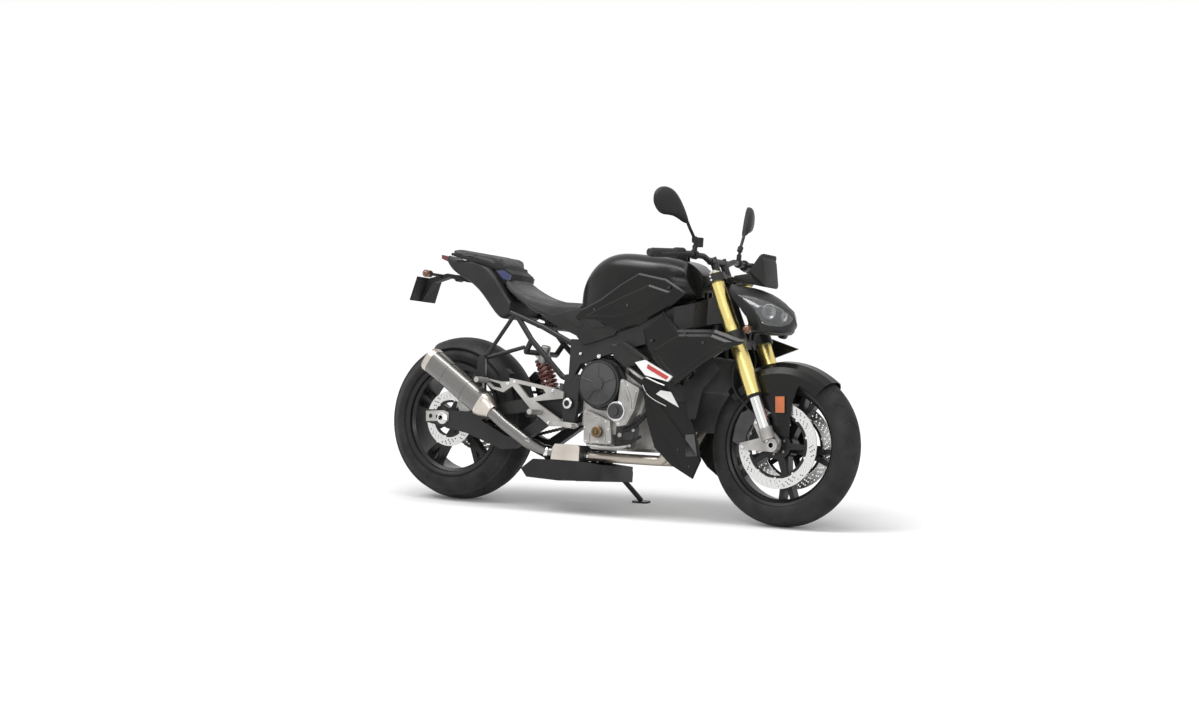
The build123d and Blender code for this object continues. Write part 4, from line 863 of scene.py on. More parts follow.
# Instrument housing: a thin top, a deeper foot and rounded corners, on its cradle
displayFacts = {
    "up": {"rear": Vector((0.577, 0, 0.817)), "middle": Vector((0.32, 0, 0.947)), "front": Vector((-0.16, 0, 0.987))},
    "loops": ((1304, 970, "rear", 114, 76, 8), (1300, 973, "rear", 119, 81, 11), (1300, 973, "rear", 125, 87, 13),
              (1303, 971, "rear", 128, 90, 15), (1314, 963, "middle", 128, 99, 17), (1332, 944, "front", 128, 118, 20),
              (1337, 941, "front", 120, 110, 18), (1340, 941, "front", 102, 92, 14)),
    "cradle": ((1202, 909), (1318, 889), (1340, 893), (1330, 930), (1276, 938), (1202, 926)),
    "railFoot": (970, 990), "railEnd": ((1212, 924), (1212, 909)),
}


def makeDisplay():
    loops = [roundedLoop(wide, tall, corner, Vector((x, 0, z)), across, displayFacts["up"][way])
             for x, z, way, wide, tall, corner in displayFacts["loops"]]
    foot = [steerPoint(up, steer["yokeFace"], 0) for up in displayFacts["railFoot"]]
    rail = [(p.x, p.z) for p in foot] + list(displayFacts["railEnd"])
    stays = [plate(displayFacts["cradle"], -34, 34, 2.0)] + pairOfStays(rail, 0.8)
    fitPiece("displayHousing", [loftLoops(loops)] + stays, "trimBlack", "steering", replaced="instrument_display")


makeDisplay()

# Mirrors: domed teardrop shells turned a little inwards, each with its glass and bent stem
mirrorFacts = {
    "head": Vector((1070, -300, 1165)), "across": Vector((-0.3387, -0.9363, 0.0996)),
    "facing": Vector((-0.9404, 0.3401, 0)), "middle": (5.0, 2.0), "clamp": Vector((1105.9, -175, 989)),
    "layers": ((8, 0.90), (11, 0.95), (10, 1.0), (2, 1.0), (-6, 0.95), (-13, 0.80), (-18, 0.55), (-20, 0.20)),
    "glass": ((9, 0.88), (10.6, 0.88), (10.9, 0.85)), "stemRadius": 6.0,
    "knob": ((-11, 0), (-11, 9), (-8, 11), (8, 11), (11, 9), (11, 0)),
    "collar": ((-9, 11.1), (-9, 17), (9, 17), (9, 11.1)), "post": ((10, 0), (10, 9.5), (34, 9.5), (36, 7), (36, 0)),
    "outline": ((-86, -54), (-20, -42), (44, -44), (82, -14), (84, 28), (52, 54), (6, 50), (-44, 10)),
}


def mirrorLoops(layers):
    sideways, facing = mirrorFacts["across"], mirrorFacts["facing"]
    upward = facing.cross(sideways)
    upward = upward if upward.z > 0 else -upward
    midX, midY = mirrorFacts["middle"]
    path = [Vector((x, y, 0)) for x, y in mirrorFacts["outline"]]
    ring = smoothPath(path[-1:] + path + path[:2], 5)[5:-6]
    return loftLoops([[mirrorFacts["head"] + facing * lift + sideways * (midX + (p.x - midX) * size)
                       + upward * (midY + (p.y - midY) * size) for p in ring] for lift, size in layers])


def makeMirrors():
    clamp, head = mirrorFacts["clamp"], mirrorFacts["head"]
    foot = clamp + Vector((0, -6, 56))
    neck = head + mirrorFacts["across"] * -66 + Vector((0, 0, -38))
    stem = [clamp + Vector((0, 0, 8)), clamp + Vector((0, -2, 30)), foot, foot.lerp(neck, 0.5), neck,
            neck.lerp(head, 0.35)]
    shells = [mirrorLoops(mirrorFacts["layers"]), tubeAlong(stem, mirrorFacts["stemRadius"], 12, 5),
              turned(mirrorFacts["knob"], foot, (0.1, -0.3, 0.9), 20),
              turned(mirrorFacts["collar"], clamp, (-0.16, -0.98, 0), 24, closed=True),
              turned(mirrorFacts["post"], clamp, (0, -0.04, 1), 20)]
    fitPiece("mirrorShells", bothSides(shells), "mouldedBlack", "steering", replaced="mirrors")
    fitPiece("mirrorGlasses", bothSides([mirrorLoops(mirrorFacts["glass"])]), "mirrorGlass", "steering")


makeMirrors()

# Instrument glass, indicator lenses, side reflectors and plate edge
smallLamps = {
    "screen": ((1322.5, -54, 1003.5), (1322.5, 54, 1003.5), (1280.5, 54, 944), (1280.5, -54, 944)),
    "screenLift": Vector((-0.817, 0, 0.577)) * 1.5,
    "indicators": {"frontIndicatorLenses": ("steering", (1334, 158, 720), 12.5),
                   "rearIndicatorLenses": ("root", (-150, 130, 895), 11.5)},
    "reflectorMiddle": (1455, 452), "reflector": ((-16, -31), (21, -29), (17, 31), (-21, 29)),
    "plateEdge": ((-248, -86, 789), (-248, 86, 789), (-219.5, 86, 883), (-219.5, -86, 883), (-248, -86, 789)),
}


def makeSmallLamps():
    lift = smallLamps["screenLift"]
    corners = [Vector(p) for p in smallLamps["screen"]]
    middle = sum(corners, Vector()) / 4
    glass = loftLoops([[p - lift for p in corners], [p + lift * 0.6 for p in corners],
                       [middle + (p - middle) * 0.97 + lift for p in corners]])
    fitPiece("instrumentGlass", [glass], "displayGlass", "steering")
    for name, (body, place, radius) in smallLamps["indicators"].items():
        dome = [(-12, 0), (-12, radius + 3.4), (-3, radius + 3.4), (0, radius + 1), (4, radius - 3), (6, radius * 0.4),
                (6.4, 0)]
        fitPiece(name, bothSides([turned(dome, place, steps=28)]), "indicatorAmber", body)
    x, z = smallLamps["reflectorMiddle"]
    slant = [(x + dx, z + dz) for dx, dz in smallLamps["reflector"]]
    grown = [(x + dx * 1.14, z + dz * 1.09) for dx, dz in smallLamps["reflector"]]
    fitPlates({"sideReflectors": ("reflectorOrange", True, ((slant, -83, -78, 1.2),)),
               "reflectorHolders": ("mouldedBlack", True, ((grown, -81, -76.6, 0.8),))}, "steering")
    fitPiece("plateEdge", [tubeAlong(smallLamps["plateEdge"], 2.0, 6, 1)], "mouldedBlack")


makeSmallLamps()
print("steering fittings made")

# White and red band below the shroud, white corner and thin lines on the spoiler, and its folded panels
stripeFacts = {
    "band": ((905, -218, 576), (951, -222, 587), (1079, -236, 530), (1060, -235, 510), (955, -223, 530)),
    "red": ((966, -226.5, 572), (1066, -237.5, 528), (1054, -236.5, 517), (963, -225.8, 556)),
    "underline": ((962, -221, 522), (1012, -226, 505), (1046, -230, 496)),
    "corner": ((979.9, 462.7), (996, 478), (1034.9, 473.7), (1067.9, 417.5)),
    "line": ((928, 494), (946, 462), (976, 440), (1020, 420)),
    "lowSide": ((1098, 318), (1130, 322), (1146, 240), (1104, 236)),
    "fold": ((952, 436), (984, 440), (1146, 244), (1156, 226), (1131, 158), (1104, 176), (1010, 320)),
    "spoilerY": -179.2, "spoilerX": 960.0, "spoilerSlope": 0.3,
}


def spoilerPoint(x, z, lift=0.0):
    return Vector((x, stripeFacts["spoilerY"] + (x - stripeFacts["spoilerX"]) * stripeFacts["spoilerSlope"] - lift, z))


def makeStripes():
    corner, low, fold = ([spoilerPoint(x, z) for x, z in stripeFacts[k]] for k in ("corner", "lowSide", "fold"))
    for name, outline, thickness, finish in (
            ("whiteBand", stripeFacts["band"], 9.0, "stripeWhite"), ("redBand", stripeFacts["red"], 3.0, "stripeRed"),
            ("whiteCorner", corner, 2.0, "stripeWhite"), ("lowerSidePanels", low, 3.0, "panelGrey"),
            ("spoilerFolds", fold, 3.0, "paintBlack")):
        fitPiece(name, bothSides([panel(outline, thickness)]), finish, smooth=False)
    lines = [tubeAlong([spoilerPoint(x, z, -0.6) for x, z in stripeFacts["line"]], 1.5, 8),
             tubeAlong(stripeFacts["underline"], 2.6, 8)]
    fitPiece("whiteLines", bothSides(lines), "stripeWhite")


makeStripes()

# Plates: outline, right and left face and eased edge; a mirrored one is on both sides
plateFacts = {
    "seatSideAccents": ("accentBlue", True, ((((168, 914), (198, 918), (232, 900), (228, 878), (200, 884)),
                                              -92, -80, 1.5),)),
    "seatLockCover": ("mouldedBlack", False, ((((150, 921), (204, 925), (232, 906), (228, 868), (190, 860)),
                                               -80, 80, 1.5),)),
    "lowerTrims": ("trimBlack", True, (
        (((453, 736), (540, 752), (628, 772), (800, 792), (806, 704), (789, 676), (700, 646), (652, 634), (618, 668),
          (529, 702)), -188, -180.6, 1.5),
        (((560, 730), (610, 742), (650, 706), (622, 700)), -190.5, -187.5, 1.0),
        (((640, 744), (700, 740), (752, 706), (690, 700)), -190.5, -187.5, 1.0),
        (((804, 650), (838, 655), (900, 622), (936, 598), (930, 590), (890, 608), (838, 640)), -216, -212.5, 1.0))),
    "innerSidePanels": ("mouldedBlack", True, (
        (((1092, 470), (1130, 520), (1178, 614), (1236, 572), (1166, 487), (1146, 379), (1116, 376)),
         -154, -150.4, 1.2),
        (((960, 560), (1000, 548), (1079, 500), (1150, 560), (1130, 470), (1112, 440), (1060, 440), (968, 514)),
         -152, -149, 1.0))),
    "bellySidePlate": ("mouldedBlack", False, ((((636, 188), (700, 186), (748, 180), (748, 119), (640, 112)),
                                                -154.6, -150.4, 1.0),)),
    "hangerCover": ("tubeBlack", False, ((((148, 438), (198, 438), (188, 567), (172, 583), (155, 567)),
                                          -160, -158.1, 0.8),)),
    "pillionBase": ("mouldedBlack", False, ((((-66, 974.6), (149, 921.6), (204, 924.6), (200, 936), (-62, 984)),
                                             -81, 81, 2.0),)),
    "engineFrontCover": ("blockDark", False, (
        (((806, 338), (860, 350), (904, 384), (902, 300), (886, 250), (806, 248)), -156, -150.3, 1.2),
        (((846, 326), (880, 340), (892, 312), (880, 280), (848, 286)), -159.5, -155.5, 1.0))),
    "heatShield": ("shieldSteel", False, ((((520, 189), (526, 236), (536, 250), (640, 252), (648, 242), (648, 189)),
                                           -155.5, -150.3, 1.2),)),
}
topYoke = {
    "outline": ((-24, -26), (-24, 26), (4, 100), (20, 142), (40, 142), (58, 100), (42, 30), (42, -30), (58, -100),
                (40, -142), (20, -142), (4, -100)),
    "layers": ((996, 0.99), (998.5, 0.99), (999.5, 0.97)),
}
fitPlates(plateFacts)
fitPiece("topYokePlate", [loftLoops([[steerPoint(up, ahead * size, y * size) for ahead, y in topYoke["outline"]]
                                     for up, size in topYoke["layers"]])], "bronzeCap", "steering", smooth=False)

# Engine: covers' flanges, caps, plugs, pivot rings, ribs and cooling pipes; each ring is turned about a cross line
engineFacts = {
    "clutch": (740, 488),
    "clutchFlange": ("blockDark", (
        ([(0, 85), (0, 99), (-16, 99), (-20, 96), (-20, 89.5), (-17, 85)], (740, -150, 488), 64, True),
        ([(-46.5, 86), (-46.5, 89.2), (-49.5, 89.2), (-49.5, 86)], (740, -150, 488), 64, True))),
    "engineRings": ("polishedSteel", (
        ([(-42, 30), (-42, 38), (-50, 38), (-52, 36), (-52, 30)], (825, -150, 389), 40, True),
        ([(0, 11), (0, 21), (-7, 20), (-9, 17), (-9, 12), (-6, 11)], (600, -184, 407), 36, True),
        ([(0, 11), (0, 21), (7, 20), (9, 17), (9, 12), (6, 11)], (600, 184, 407), 36, True))),
    "fillerPlug": ("bronzeCap", (
        ([(-33, 0), (-33, 21.5), (-39, 21.5), (-41, 19), (-41, 12), (-38, 11), (-38, 0)], (738, -150, 306), 36, False),
        ([(-36, 0), (-36, 8), (-45, 8), (-46, 6), (-46, 0)], (738, -150, 306), 6, False))),
    "engineFrontPlugs": ("castSilver", tuple(
        ([(0, 0), (0, r), (-6, r), (-7.5, r - 1.5), (-7.5, 0)], (x, -155.5, z), 24, False)
        for x, z, r in ((826, 300, 9), (884, 322, 7), (872, 262, 6)))),
}
tubeFacts = {
    "casingRibs": ("castSilver", (
        (((676, -174.5, 380), (790, -174.5, 346)), 3.2, 8, 1), (((700, -174.5, 300), (700, -174.5, 268)), 3.2, 8, 1),
        (((770, -174.5, 300), (770, -174.5, 268)), 3.2, 8, 1),
        (((845, -192.5, 508), (880, -192.5, 440), (884, -192.5, 392), (862, -192.5, 346)), 3.4, 8, 5),
        (((850, -192.5, 470), (872, -192.5, 430)), 3.4, 8, 5), (((905, -192.5, 470), (893, -192.5, 402)), 3.4, 8, 5))),
    "coolantPipes": ("castSilver", (
        (((836, -150, 540), (856, -176, 556), (884, -182, 540), (912, -164, 520), (930, -146, 520)), 8, 12),
        (((690, -150, 268), (690, -164, 256), (742, -166, 250), (830, -162, 252), (872, -146, 268)), 6, 12))),
    "coolantHoses": ("mouldedBlack", (
        (((838, -157, 318), (872, -162, 328), (906, -160, 352), (932, -150, 390), (944, -140, 432)), 8, 12),
        (((826, -157, 278), (858, -161, 272), (888, -156, 284), (912, -144, 300)), 5.5, 12))),
}


def makeEngineDetails():
    for name in ("clutchFlange", "engineRings", "fillerPlug", "engineFrontPlugs"):
        finish, rings = engineFacts[name]
        meshes = [turned(profile, place, across, steps, closed) for profile, place, steps, closed in rings]
        fitPiece(name, meshes, finish)
    for name, (finish, tubes) in tubeFacts.items():
        fitPiece(name, [tubeAlong(*tube) for tube in tubes], finish)


makeEngineDetails()

# Exhaust: front cone, bands and end cap of the silencer, as distances along it, sizes and corners; port collars
exhaustFacts = {
    "front": Vector((225, -197, 380)), "rear": Vector((-45, -197, 550)), "width": 86.0, "height": 96.0,
    "corner": 34.0, "outlet": 48.0, "bands": (96, 210), "band": ((0, 0.98), (0, 1.025), (11, 1.025), (11, 0.98)),
    "cone": ((-46, 0.61, 26), (-38, 0.63, 27), (-20, 0.84), (-4, 0.98), (6, 1.03), (12, 1.03), (12, 0.9)),
    "capFront": ((-24, 0.98), (-24, 1.03), (-4, 1.03), (3, 0.97), (4, 0.80)), "mouth": ((1.0, 3), (0.98, -20)),
    "collar": [(0, 18), (0, 23), (14, 23), (16, 21), (16, 18)], "ports": (-104, -48, 8, 64),
    "linkCollar": [(0, 23), (0, 28), (16, 28), (18, 26), (18, 23)],
}


def makeExhaustDetails():
    front, span = exhaustFacts["front"], exhaustFacts["rear"] - exhaustFacts["front"]
    axis, length = span.normalized(), span.length
    upward = axis.cross(across)

    def section(distance, scale, corner=None):
        wide, tall = exhaustFacts["width"] * scale, exhaustFacts["height"] * scale
        corner = exhaustFacts["corner"] * scale if corner is None else corner
        return roundedLoop(wide, tall, min(corner, wide / 2 - 0.1), front + axis * distance, across, upward)

    fitPiece("silencerCone", [loftLoops([section(*row) for row in exhaustFacts["cone"]])], "shieldSteel")
    mouth = [roundedLoop(size, size, size / 2 - 0.1, front + axis * (length + at), across, upward)
             for size, at in ((exhaustFacts["outlet"] * share, at) for share, at in exhaustFacts["mouth"])]
    endCap = [section(length + at, scale) for at, scale in exhaustFacts["capFront"]] + mouth
    endCap.append(section(length - 22, 0.9))
    fitPiece("silencerEndCap", [loftLoops(endCap, closed=True)], "shieldSteel")
    bands = [loftLoops([section(at + ahead, scale) for ahead, scale in exhaustFacts["band"]], closed=True)
             for at in exhaustFacts["bands"]]
    fitPiece("silencerBands", bands, "silencerSteel")
    collars = [turned(exhaustFacts["collar"], (652, y, 210), (1, 0, 0), 28, closed=True) for y in exhaustFacts["ports"]]
    collars.append(turned(exhaustFacts["linkCollar"], (478, -118, 214), (1, 0, 0), 32, closed=True))
    fitPiece("exhaustCollars", collars, "polishedSteel")


makeExhaustDetails()

# Shock absorber: coil spring round a damper, with a small remote bottle
shockFacts = {
    "top": Vector((345, 0, 600)), "low": Vector((418, 0, 430)), "coil": 28.5, "wire": 5.6, "turns": 7, "steps": 16,
    "startAt": 30.0, "stopAt": 152.0, "eyeHalf": 14, "eyes": (("top", 22, 11.2), ("low", 16, 7.2)),
    "damper": ((14, 0), (14, 15), (22, 20), (24, 33), (29, 34), (30, 22), (95, 22), (98, 12), (152, 12), (153, 33),
               (158, 33), (160, 18), (172, 13), (172, 0)),
    "bottle": ((0, 0), (0, 17), (3, 19), (66, 19), (70, 16), (70, 0)),
}


def makeShock():
    axis = (shockFacts["low"] - shockFacts["top"]).normalized()
    other = axis.cross(across)
    count = shockFacts["turns"] * shockFacts["steps"]
    path = []
    for step in range(count + 1):
        angle = 2 * math.pi * step / shockFacts["steps"]
        at = shockFacts["startAt"] + (shockFacts["stopAt"] - shockFacts["startAt"]) * step / count
        path.append(shockFacts["top"] + axis * at
                    + (across * math.cos(angle) + other * math.sin(angle)) * shockFacts["coil"])
    fitPiece("shockSpring", [tubeAlong(path, shockFacts["wire"], 10, 1)], "springRed", replaced="shock_absorber")
    body = [turned(shockFacts["damper"], shockFacts["top"], axis, 36)]
    half = shockFacts["eyeHalf"]
    for end, wide, bore in shockFacts["eyes"]:
        eye = [(-half, bore), (-half, wide - 1.5), (1.5 - half, wide), (half - 1.5, wide), (half, wide - 1.5),
               (half, bore)]
        body.append(turned(eye, shockFacts[end], across, 36, closed=True))
    fitPiece("shockDamper", body, "castSilver")
    fitPiece("shockBottle", [turned(shockFacts["bottle"], (392, -58, 560), (0.25, -0.1, 0.96), 28)], "castSilver")


makeShock()

# Swingarm ends: adjuster blocks with round holes and the axle's nuts
armFacts = {"block": ((-82, 344), (4, 350), (28, 342), (28, 310), (-78, 303)), "faces": (-155.0, -150.2),
            "holes": ((-58, 325, 9, 20), (-26, 324, 7, 20), (0, 320.03, 25, 32)),
            "nut": [(0, 10.5), (0, 17), (-10, 17), (-12, 15), (-12, 10.5)], "nutAt": (0, -158, 320.03)}


def makeArmEnds():
    block = plate(armFacts["block"], *armFacts["faces"], 0, [circlePoints(*hole) for hole in armFacts["holes"]])
    fitPiece("axleBlocks", bothSides([block]), "castSilver")
    nut = turned(armFacts["nut"], armFacts["nutAt"], across, 6, closed=True)
    fitPiece("axleNuts", bothSides([nut]), "polishedSteel")


makeArmEnds()
print("root fittings made")


# Geometry Nodes helpers: the chain, the screws and the fins are one shape set on many points
def startTree(name, inputs):
    return newTree("GeometryNodeTree", name, {"Geometry": "Geometry", **inputs, "Finish": "Material"},
                   {"Geometry": "Geometry"})


def spacedCurve(tree, enter, count):
    curve = addNode(tree, "GeometryNodeMeshToCurve", {0: enter["Geometry"]}).outputs[0]
    return addNode(tree, "GeometryNodeResampleCurve", {"Curve": curve, "Count": enter[count]}).outputs[0]


def setOn(tree, points, shape, values):
    solid = addNode(tree, "GeometryNodeObjectInfo", {"Object": shape}).outputs["Geometry"]
    return addNode(tree, "GeometryNodeInstanceOnPoints", {"Points": points, "Instance": solid, **values}).outputs[0]


def endTree(tree, enter, leave, source):
    solid = addNode(tree, "GeometryNodeRealizeInstances", {0: source}).outputs[0]
    coat = addNode(tree, "GeometryNodeSetMaterial", {"Geometry": solid, "Material": enter["Finish"]}).outputs[0]
    feedAll(tree, leave, {0: coat})
    return tree


def runTree(name, mesh, tree, values):
    holder = addObject(name, mesh)
    modifier = holder.modifiers.new(name, "NODES")
    modifier.node_group = tree
    for item in tree.interface.items_tree:
        if item.in_out == "INPUT" and item.name in values:
            modifier[item.identifier] = values[item.name]
    result = bakedMesh(holder)
    holder.modifiers.remove(modifier)
    bpy.data.objects.remove(holder)
    for helper in values.values():
        if isinstance(helper, bpy.types.Object):
            bpy.data.objects.remove(helper)
    return result


# Drive chain: side plates and rollers, one link after another along the loop
chainFacts = {"links": 116, "rear": (0.0, 320.027, 113.79), "front": (665.0, 425.0, 43.2), "y": 104.0, "plate": 1.8,
              "plateHalf": 6.6, "waist": 4.6, "roller": 5.0, "pin": 2.6, "pinOut": 1.6, "innerY": 3.6, "outerY": 5.6}


def chainLink(pitch, offset, radius, reach):
    half, thick = chainFacts["plateHalf"], chainFacts["plate"]
    outline = []
    for end in (-1, 1):
        for step in range(7):
            angle = math.radians(-75 + 25 * step + (0 if end > 0 else 180))
            outline.append((end * pitch / 2 + half * math.cos(angle), half * math.sin(angle)))
        outline.append((0, end * chainFacts["waist"]))
    meshes = [loftLoops([[(x, y, z) for x, z in outline] for y in (low, low + thick)])
              for low in (side * offset - thick / 2 for side in (-1, 1))]
    pin = [(-reach, 0), (-reach, radius), (reach, radius), (reach, 0)]
    meshes += [turned(pin, (end * pitch / 2, 0, 0), across, 8) for end in (-1, 1)]
    return addObject("chainLink", joinMeshes("chainLink", meshes))


def chainLoop():
    (rearX, rearZ, rearR), (frontX, frontZ, frontR) = chainFacts["rear"], chainFacts["front"]
    bearing = math.atan2(frontZ - rearZ, frontX - rearX)
    swing = math.acos((rearR - frontR) / math.hypot(frontX - rearX, frontZ - rearZ))
    points = []
    for x, z, radius, start, sweep, steps in ((rearX, rearZ, rearR, bearing + swing, 2 * math.pi - 2 * swing, 60),
                                              (frontX, frontZ, frontR, bearing - swing, 2 * swing, 40)):
        for step in range(steps + 1):
            angle = start + sweep * step / steps
            points.append((x + radius * math.cos(angle), chainFacts["y"], z + radius * math.sin(angle)))
    return points


def makeChainTree():
    tree, enter, leave = startTree("chainRun", {"Link Count": "Int", "Inner Link": "Object", "Outer Link": "Object"})
    spaced = spacedCurve(tree, enter, "Link Count")
    tangent = addNode(tree, "GeometryNodeInputTangent").outputs[0]
    aim = addNode(tree, "FunctionNodeAlignRotationToVector", {"Vector": tangent}, axis="X", pivot_axis="Y").outputs[0]
    odd = mathNode(tree, "MODULO", addNode(tree, "GeometryNodeInputIndex").outputs[0], 2)
    join = addNode(tree, "GeometryNodeJoinGeometry")
    for label, chosen in (("Inner Link", odd), ("Outer Link", mathNode(tree, "SUBTRACT", 1, odd))):
        feedAll(tree, join, {0: setOn(tree, spaced, enter[label], {"Selection": chosen, "Rotation": aim})})
    return endTree(tree, enter, leave, join.outputs[0])


def makeChain():
    loop = chainLoop()
    pitch = sum(math.dist(a, b) for a, b in zip(loop, loop[1:] + loop[:1])) / chainFacts["links"]
    innerY, outerY = chainFacts["innerY"], chainFacts["outerY"]
    inner = chainLink(pitch, innerY, chainFacts["roller"], innerY)
    outer = chainLink(pitch, outerY, chainFacts["pin"], outerY + chainFacts["pinOut"])
    mesh = bpy.data.meshes.new("chainRun")
    mesh.from_pydata(loop, [(i, (i + 1) % len(loop)) for i in range(len(loop))], [])
    result = runTree("chainRun", mesh, makeChainTree(), {
        "Link Count": chainFacts["links"], "Inner Link": inner, "Outer Link": outer, "Finish": materials["oiledSteel"]})
    dressMesh("chainLinks", result, "oiledSteel", smooth=False, clean=False, replaced="drive_chain")


makeChain()
print("chain linked")

# Screws: one socket head, set wherever the lists say; each row is its points, distance from the middle, size and sides
screwFacts = {
    "head": ((0, 1.0), (0.5625, 1.0), (0.75, 0.86), (0.75, 0.46), (0.2625, 0.42), (0.2625, 0)),
    "silver": (
        (((840, 502), (866, 490), (905, 470), (896, 430), (886, 398), (864, 352), (836, 344), (838, 420)),
         192, 4.2, (-1,)),
        (((678, 380), (720, 366), (770, 348), (784, 320), (792, 272), (740, 270), (686, 270), (678, 320)),
         174, 4.2, (-1,)),
        (((724, 593),), 178, 9, (-1, 1)), (((930, 700), (640, 600)), 179, 6, (-1, 1)),
        (((352, 478), (530, 452), (520, 328), (200, 482), (322, 470)), 188, 6, (-1, 1)),
        (circlePoints(800, 400, 64, 7, 0.1), 192, 5, (1,)),
        (((662, 352), (730, 352), (730, 498), (662, 498)), 164, 4.5, (1,))),
    "dark": (
        (((845, 790), (1020, 862), (700, 770)), 197.5, 5, (-1, 1)),
        (((980, 660), (1120, 690), (1200, 660)), 234.0375, 5, (-1, 1)),
        (circlePoints(*engineFacts["clutch"], 93.5, 9, 0.2), 170, 5.5, (-1,))),
    "spoiler": ((945, 470), (1075, 260), (1120, 200)), "spoilerSize": 4.5,
    "yokes": ((738, -9), (752, -9), (974, 30), (988, 30)),
    "calipers": ((1432, 122.3, 316, 5), (1432, 122.3, 340, 5), (1374, 102.2, 381, 7.5), (1322, 102.2, 288, 7.5)),
    "yokeY": 146, "yokeSize": 4.5, "clampsAhead": (2, 24), "clampsUp": 1080, "clampsY": 38, "clampSize": 5,
    "disc": ((circlePoints(*bike["frontAxle"], 34, 5, 0.6), 70.0, 5, (-1, 1)),),
    "sprocket": ((circlePoints(*bike["rearAxle"], 44, 5, 0.3), 107, 6, (1,)),),
}


def makeScrewTree():
    tree, enter, leave = startTree("screwField", {"Screw": "Object"})
    facing, size = (addNode(tree, "GeometryNodeInputNamedAttribute", {"Name": name}, data_type=kind).outputs[0]
                    for name, kind in (("facing", "FLOAT_VECTOR"), ("size", "FLOAT")))
    aim = addNode(tree, "FunctionNodeAlignRotationToVector", {"Vector": facing}, axis="Z").outputs[0]
    spots = setOn(tree, enter["Geometry"], enter["Screw"], {"Rotation": aim, "Scale": size})
    return endTree(tree, enter, leave, spots)


screwTree = makeScrewTree()


def setScrews(name, places, finish, body="root"):
    mesh = bpy.data.meshes.new(name)
    mesh.from_pydata([tuple(place) for place, aim, size in places], [], [])
    facing = mesh.attributes.new("facing", "FLOAT_VECTOR", "POINT")
    facing.data.foreach_set("vector", [v for place, aim, size in places for v in aim])
    sizes = mesh.attributes.new("size", "FLOAT", "POINT")
    sizes.data.foreach_set("value", [size for place, aim, size in places])
    head = addObject("screwHead", turned(screwFacts["head"], (0, 0, 0), (0, 0, 1), 12))
    dressMesh(name, runTree(name, mesh, screwTree, {"Screw": head, "Finish": materials[finish]}), finish, body)


def flatScrews(rows):
    return [((x, side * y, z), (0, side, 0), size)
            for points, y, size, sides in rows for x, z in points for side in sides]


def makeScrews():
    setScrews("silverScrews", flatScrews(screwFacts["silver"]), "polishedSteel")
    dark = flatScrews(screwFacts["dark"])
    for x, z in screwFacts["spoiler"]:
        reach = -spoilerPoint(x, z).y
        dark += [((x, side * reach, z), (-0.287, side * 0.958, 0), screwFacts["spoilerSize"]) for side in (-1, 1)]
    setScrews("darkScrews", dark, "castDark")
    fork = []
    for side in (-1, 1):
        fork += [(steerPoint(up, ahead, side * screwFacts["yokeY"]), (0, side, 0), screwFacts["yokeSize"])
                 for up, ahead in screwFacts["yokes"]]
        fork += [((x, side * y, z), (0, side, 0), size) for x, y, z, size in screwFacts["calipers"]]
        fork += [(steerPoint(screwFacts["clampsUp"], ahead, side * screwFacts["clampsY"]), steer["up"],
                  screwFacts["clampSize"]) for ahead in screwFacts["clampsAhead"]]
    setScrews("forkScrews", fork, "polishedSteel", "steering")
    setScrews("frontDiscScrews", flatScrews(screwFacts["disc"]), "oiledSteel", "front_wheel")
    setScrews("sprocketScrews", flatScrews(screwFacts["sprocket"]), "oiledSteel", "rear_wheel")


makeScrews()
print("screws set")

# Radiator: thin fins down the core's front face
radiatorFacts = {"upper": ((1175.5, 0, 606), (1144, 0, 484), 145.0, 34),
                 "lower": ((1143.5, 0, 476), (1108, 0, 334), 107.0, 40), "depth": 5.0, "thick": 0.8}


def makeFinTree():
    tree, enter, leave = startTree("finStack", {"Fin Count": "Int", "Fin": "Object", "Fin Size": "Vector"})
    spaced = spacedCurve(tree, enter, "Fin Count")
    return endTree(tree, enter, leave, setOn(tree, spaced, enter["Fin"], {"Scale": enter["Fin Size"]}))


def makeRadiatorFins():
    tree = makeFinTree()
    stacks = []
    for key in ("upper", "lower"):
        top, low, half, count = radiatorFacts[key]
        mesh = bpy.data.meshes.new("finStack")
        mesh.from_pydata([top, low], [(0, 1)], [])
        fin = meshFrom([(x, y, z) for x in (0, 1) for y in (-1, 1) for z in (-0.5, 0.5)],
                       [(0, 1, 3, 2), (4, 6, 7, 5), (0, 4, 5, 1), (2, 3, 7, 6), (0, 2, 6, 4), (1, 5, 7, 3)])
        stacks.append(runTree("finStack", mesh, tree, {
            "Fin Count": count, "Fin": addObject("finStrip", fin), "Finish": materials["coreFins"],
            "Fin Size": (radiatorFacts["depth"], half, radiatorFacts["thick"])}))
    fitPiece("radiatorFins", stacks, "coreFins", smooth=False)


makeRadiatorFins()
print("radiator finned")

# Seats: each cushion swells a little from its own foam shape, then gets its seams
seatFacts = {
    "riderCushion": {"node": "rider_seat", "voxel": 0.006, "shrink": 0.004, "cap": 0.006, "fill": 0.8,
                     "along": ((250, 66), (300, 70), (360, 72), (430, 66), (500, 54), (560, 40)),
                     "across": ((250, 66), (246, 34), (245, 0), (246, -34), (250, -66))},
    "pillionCushion": {"node": "pillion_seat", "voxel": 0.005, "shrink": 0.003, "cap": 0.005, "fill": 0.85,
                       "along": ((128, 52), (70, 54), (0, 52), (-52, 46)),
                       "across": ((118, 66), (118, 34), (118, 0), (118, -34), (118, -66))},
}
clothFacts = {"pressure": 4.0, "stiffness": 25, "frames": 20, "welt": 1.7, "sunk": 0.5}


def addModifier(piece, kind, **settings):
    modifier = piece.modifiers.new(kind.lower(), kind)
    for key, value in settings.items():
        setattr(modifier, key, value)
    return modifier


def applyModifiers(piece):
    mesh = bakedMesh(piece)
    piece.modifiers.clear()
    piece.data = mesh


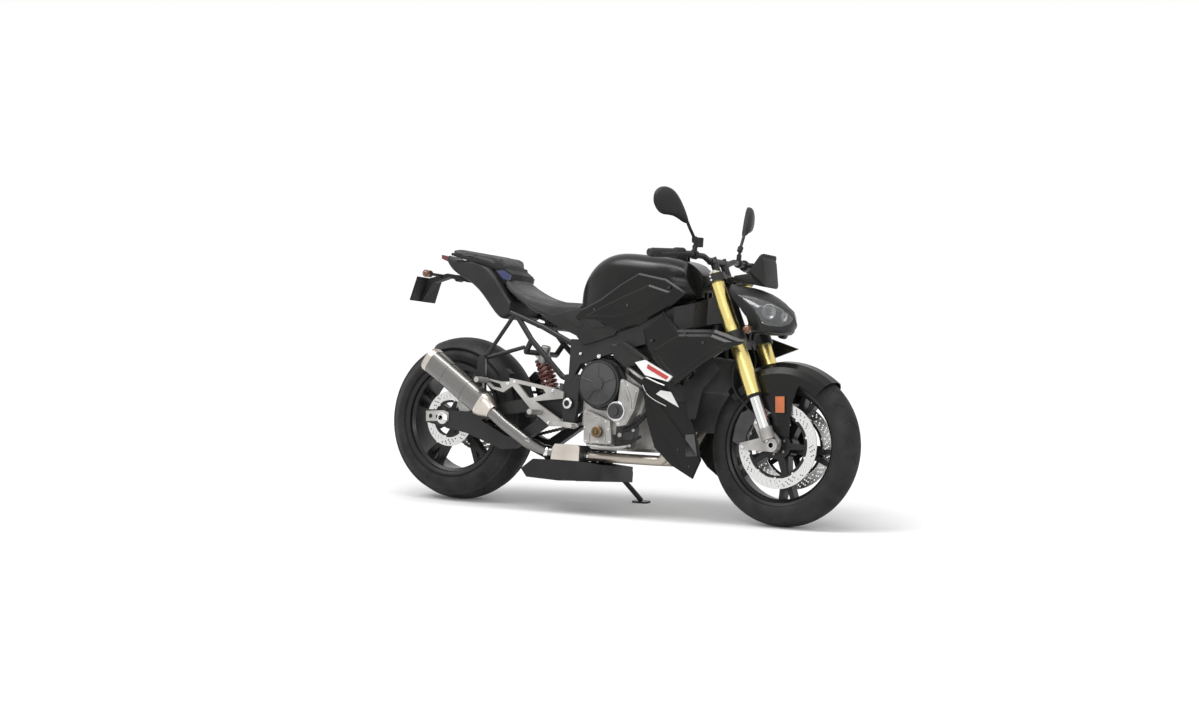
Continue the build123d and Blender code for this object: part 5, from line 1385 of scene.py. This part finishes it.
def vertexPlaces(piece):
    places = np.empty(len(piece.data.vertices) * 3)
    piece.data.vertices.foreach_get("co", places)
    return places


def swell(piece, cap):
    before = vertexPlaces(piece)
    settings = addModifier(piece, "CLOTH").settings
    settings.use_pressure = True
    settings.uniform_pressure_force = clothFacts["pressure"]
    settings.effector_weights.gravity = 0
    settings.tension_stiffness = settings.compression_stiffness = clothFacts["stiffness"]
    for step in range(1, clothFacts["frames"] + 1):
        scene.frame_set(step)
    applyModifiers(piece)
    moved = (vertexPlaces(piece) - before).reshape(-1, 3)
    far = np.linalg.norm(moved, axis=1, keepdims=True)
    moved *= np.minimum(1.0, cap / np.maximum(far, 1e-9))
    piece.data.vertices.foreach_set("co", before + moved.ravel())
    scene.frame_set(1)


def makeCushion(name, facts):
    piece = addObject(name, cleanMesh(nodes[facts["node"]].data.copy(), 0.0001, faceOut=False))
    addModifier(piece, "REMESH", mode="VOXEL", voxel_size=facts["voxel"])
    addModifier(piece, "DISPLACE", strength=-facts["shrink"], mid_level=0.0)
    addModifier(piece, "SMOOTH", factor=0.5, iterations=6)
    applyModifiers(piece)
    swell(piece, facts["cap"])
    addModifier(piece, "SUBSURF", levels=1, render_levels=1)
    applyModifiers(piece)
    piece.data.materials.clear()
    piece.data.materials.append(materials["seatLeather"])
    piece.data.polygons.foreach_set("use_smooth", [True] * len(piece.data.polygons))
    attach(piece, "root")
    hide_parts(facts["node"])
    return piece


# A welt's points, found by looking straight down on the finished cushion
def layOn(tree, x, y):
    start, end = rowPoint(x, y, 1200), rowPoint(x, y, 600)
    hit = tree.ray_cast(start, (end - start).normalized())[0]
    return None if hit is None else rowFromBike.inverted() @ hit - Vector((0, 0, clothFacts["sunk"]))


def makeSeams(cushions):
    welts = []
    for name, cushion in cushions.items():
        tree = BVHTree.FromObject(cushion, bpy.context.evaluated_depsgraph_get())
        for key, sides in (("along", (1, -1)), ("across", (1,))):
            fine = smoothPath([Vector((x, y, 0)) for x, y in seatFacts[name][key]], 6)
            for side in sides:
                spots = [spot for spot in (layOn(tree, p.x, side * p.y) for p in fine) if spot is not None]
                if len(spots) > 3:
                    welts.append(tubeAlong(spots, clothFacts["welt"], 8, 1))
    fitPiece("seatSeams", welts, "seatLeather")


seats = {}
for seatName, seatRow in seatFacts.items():
    seats[seatName] = makeCushion(seatName, seatRow)
    print(seatName, "done")
makeSeams(seats)
print("seams laid")
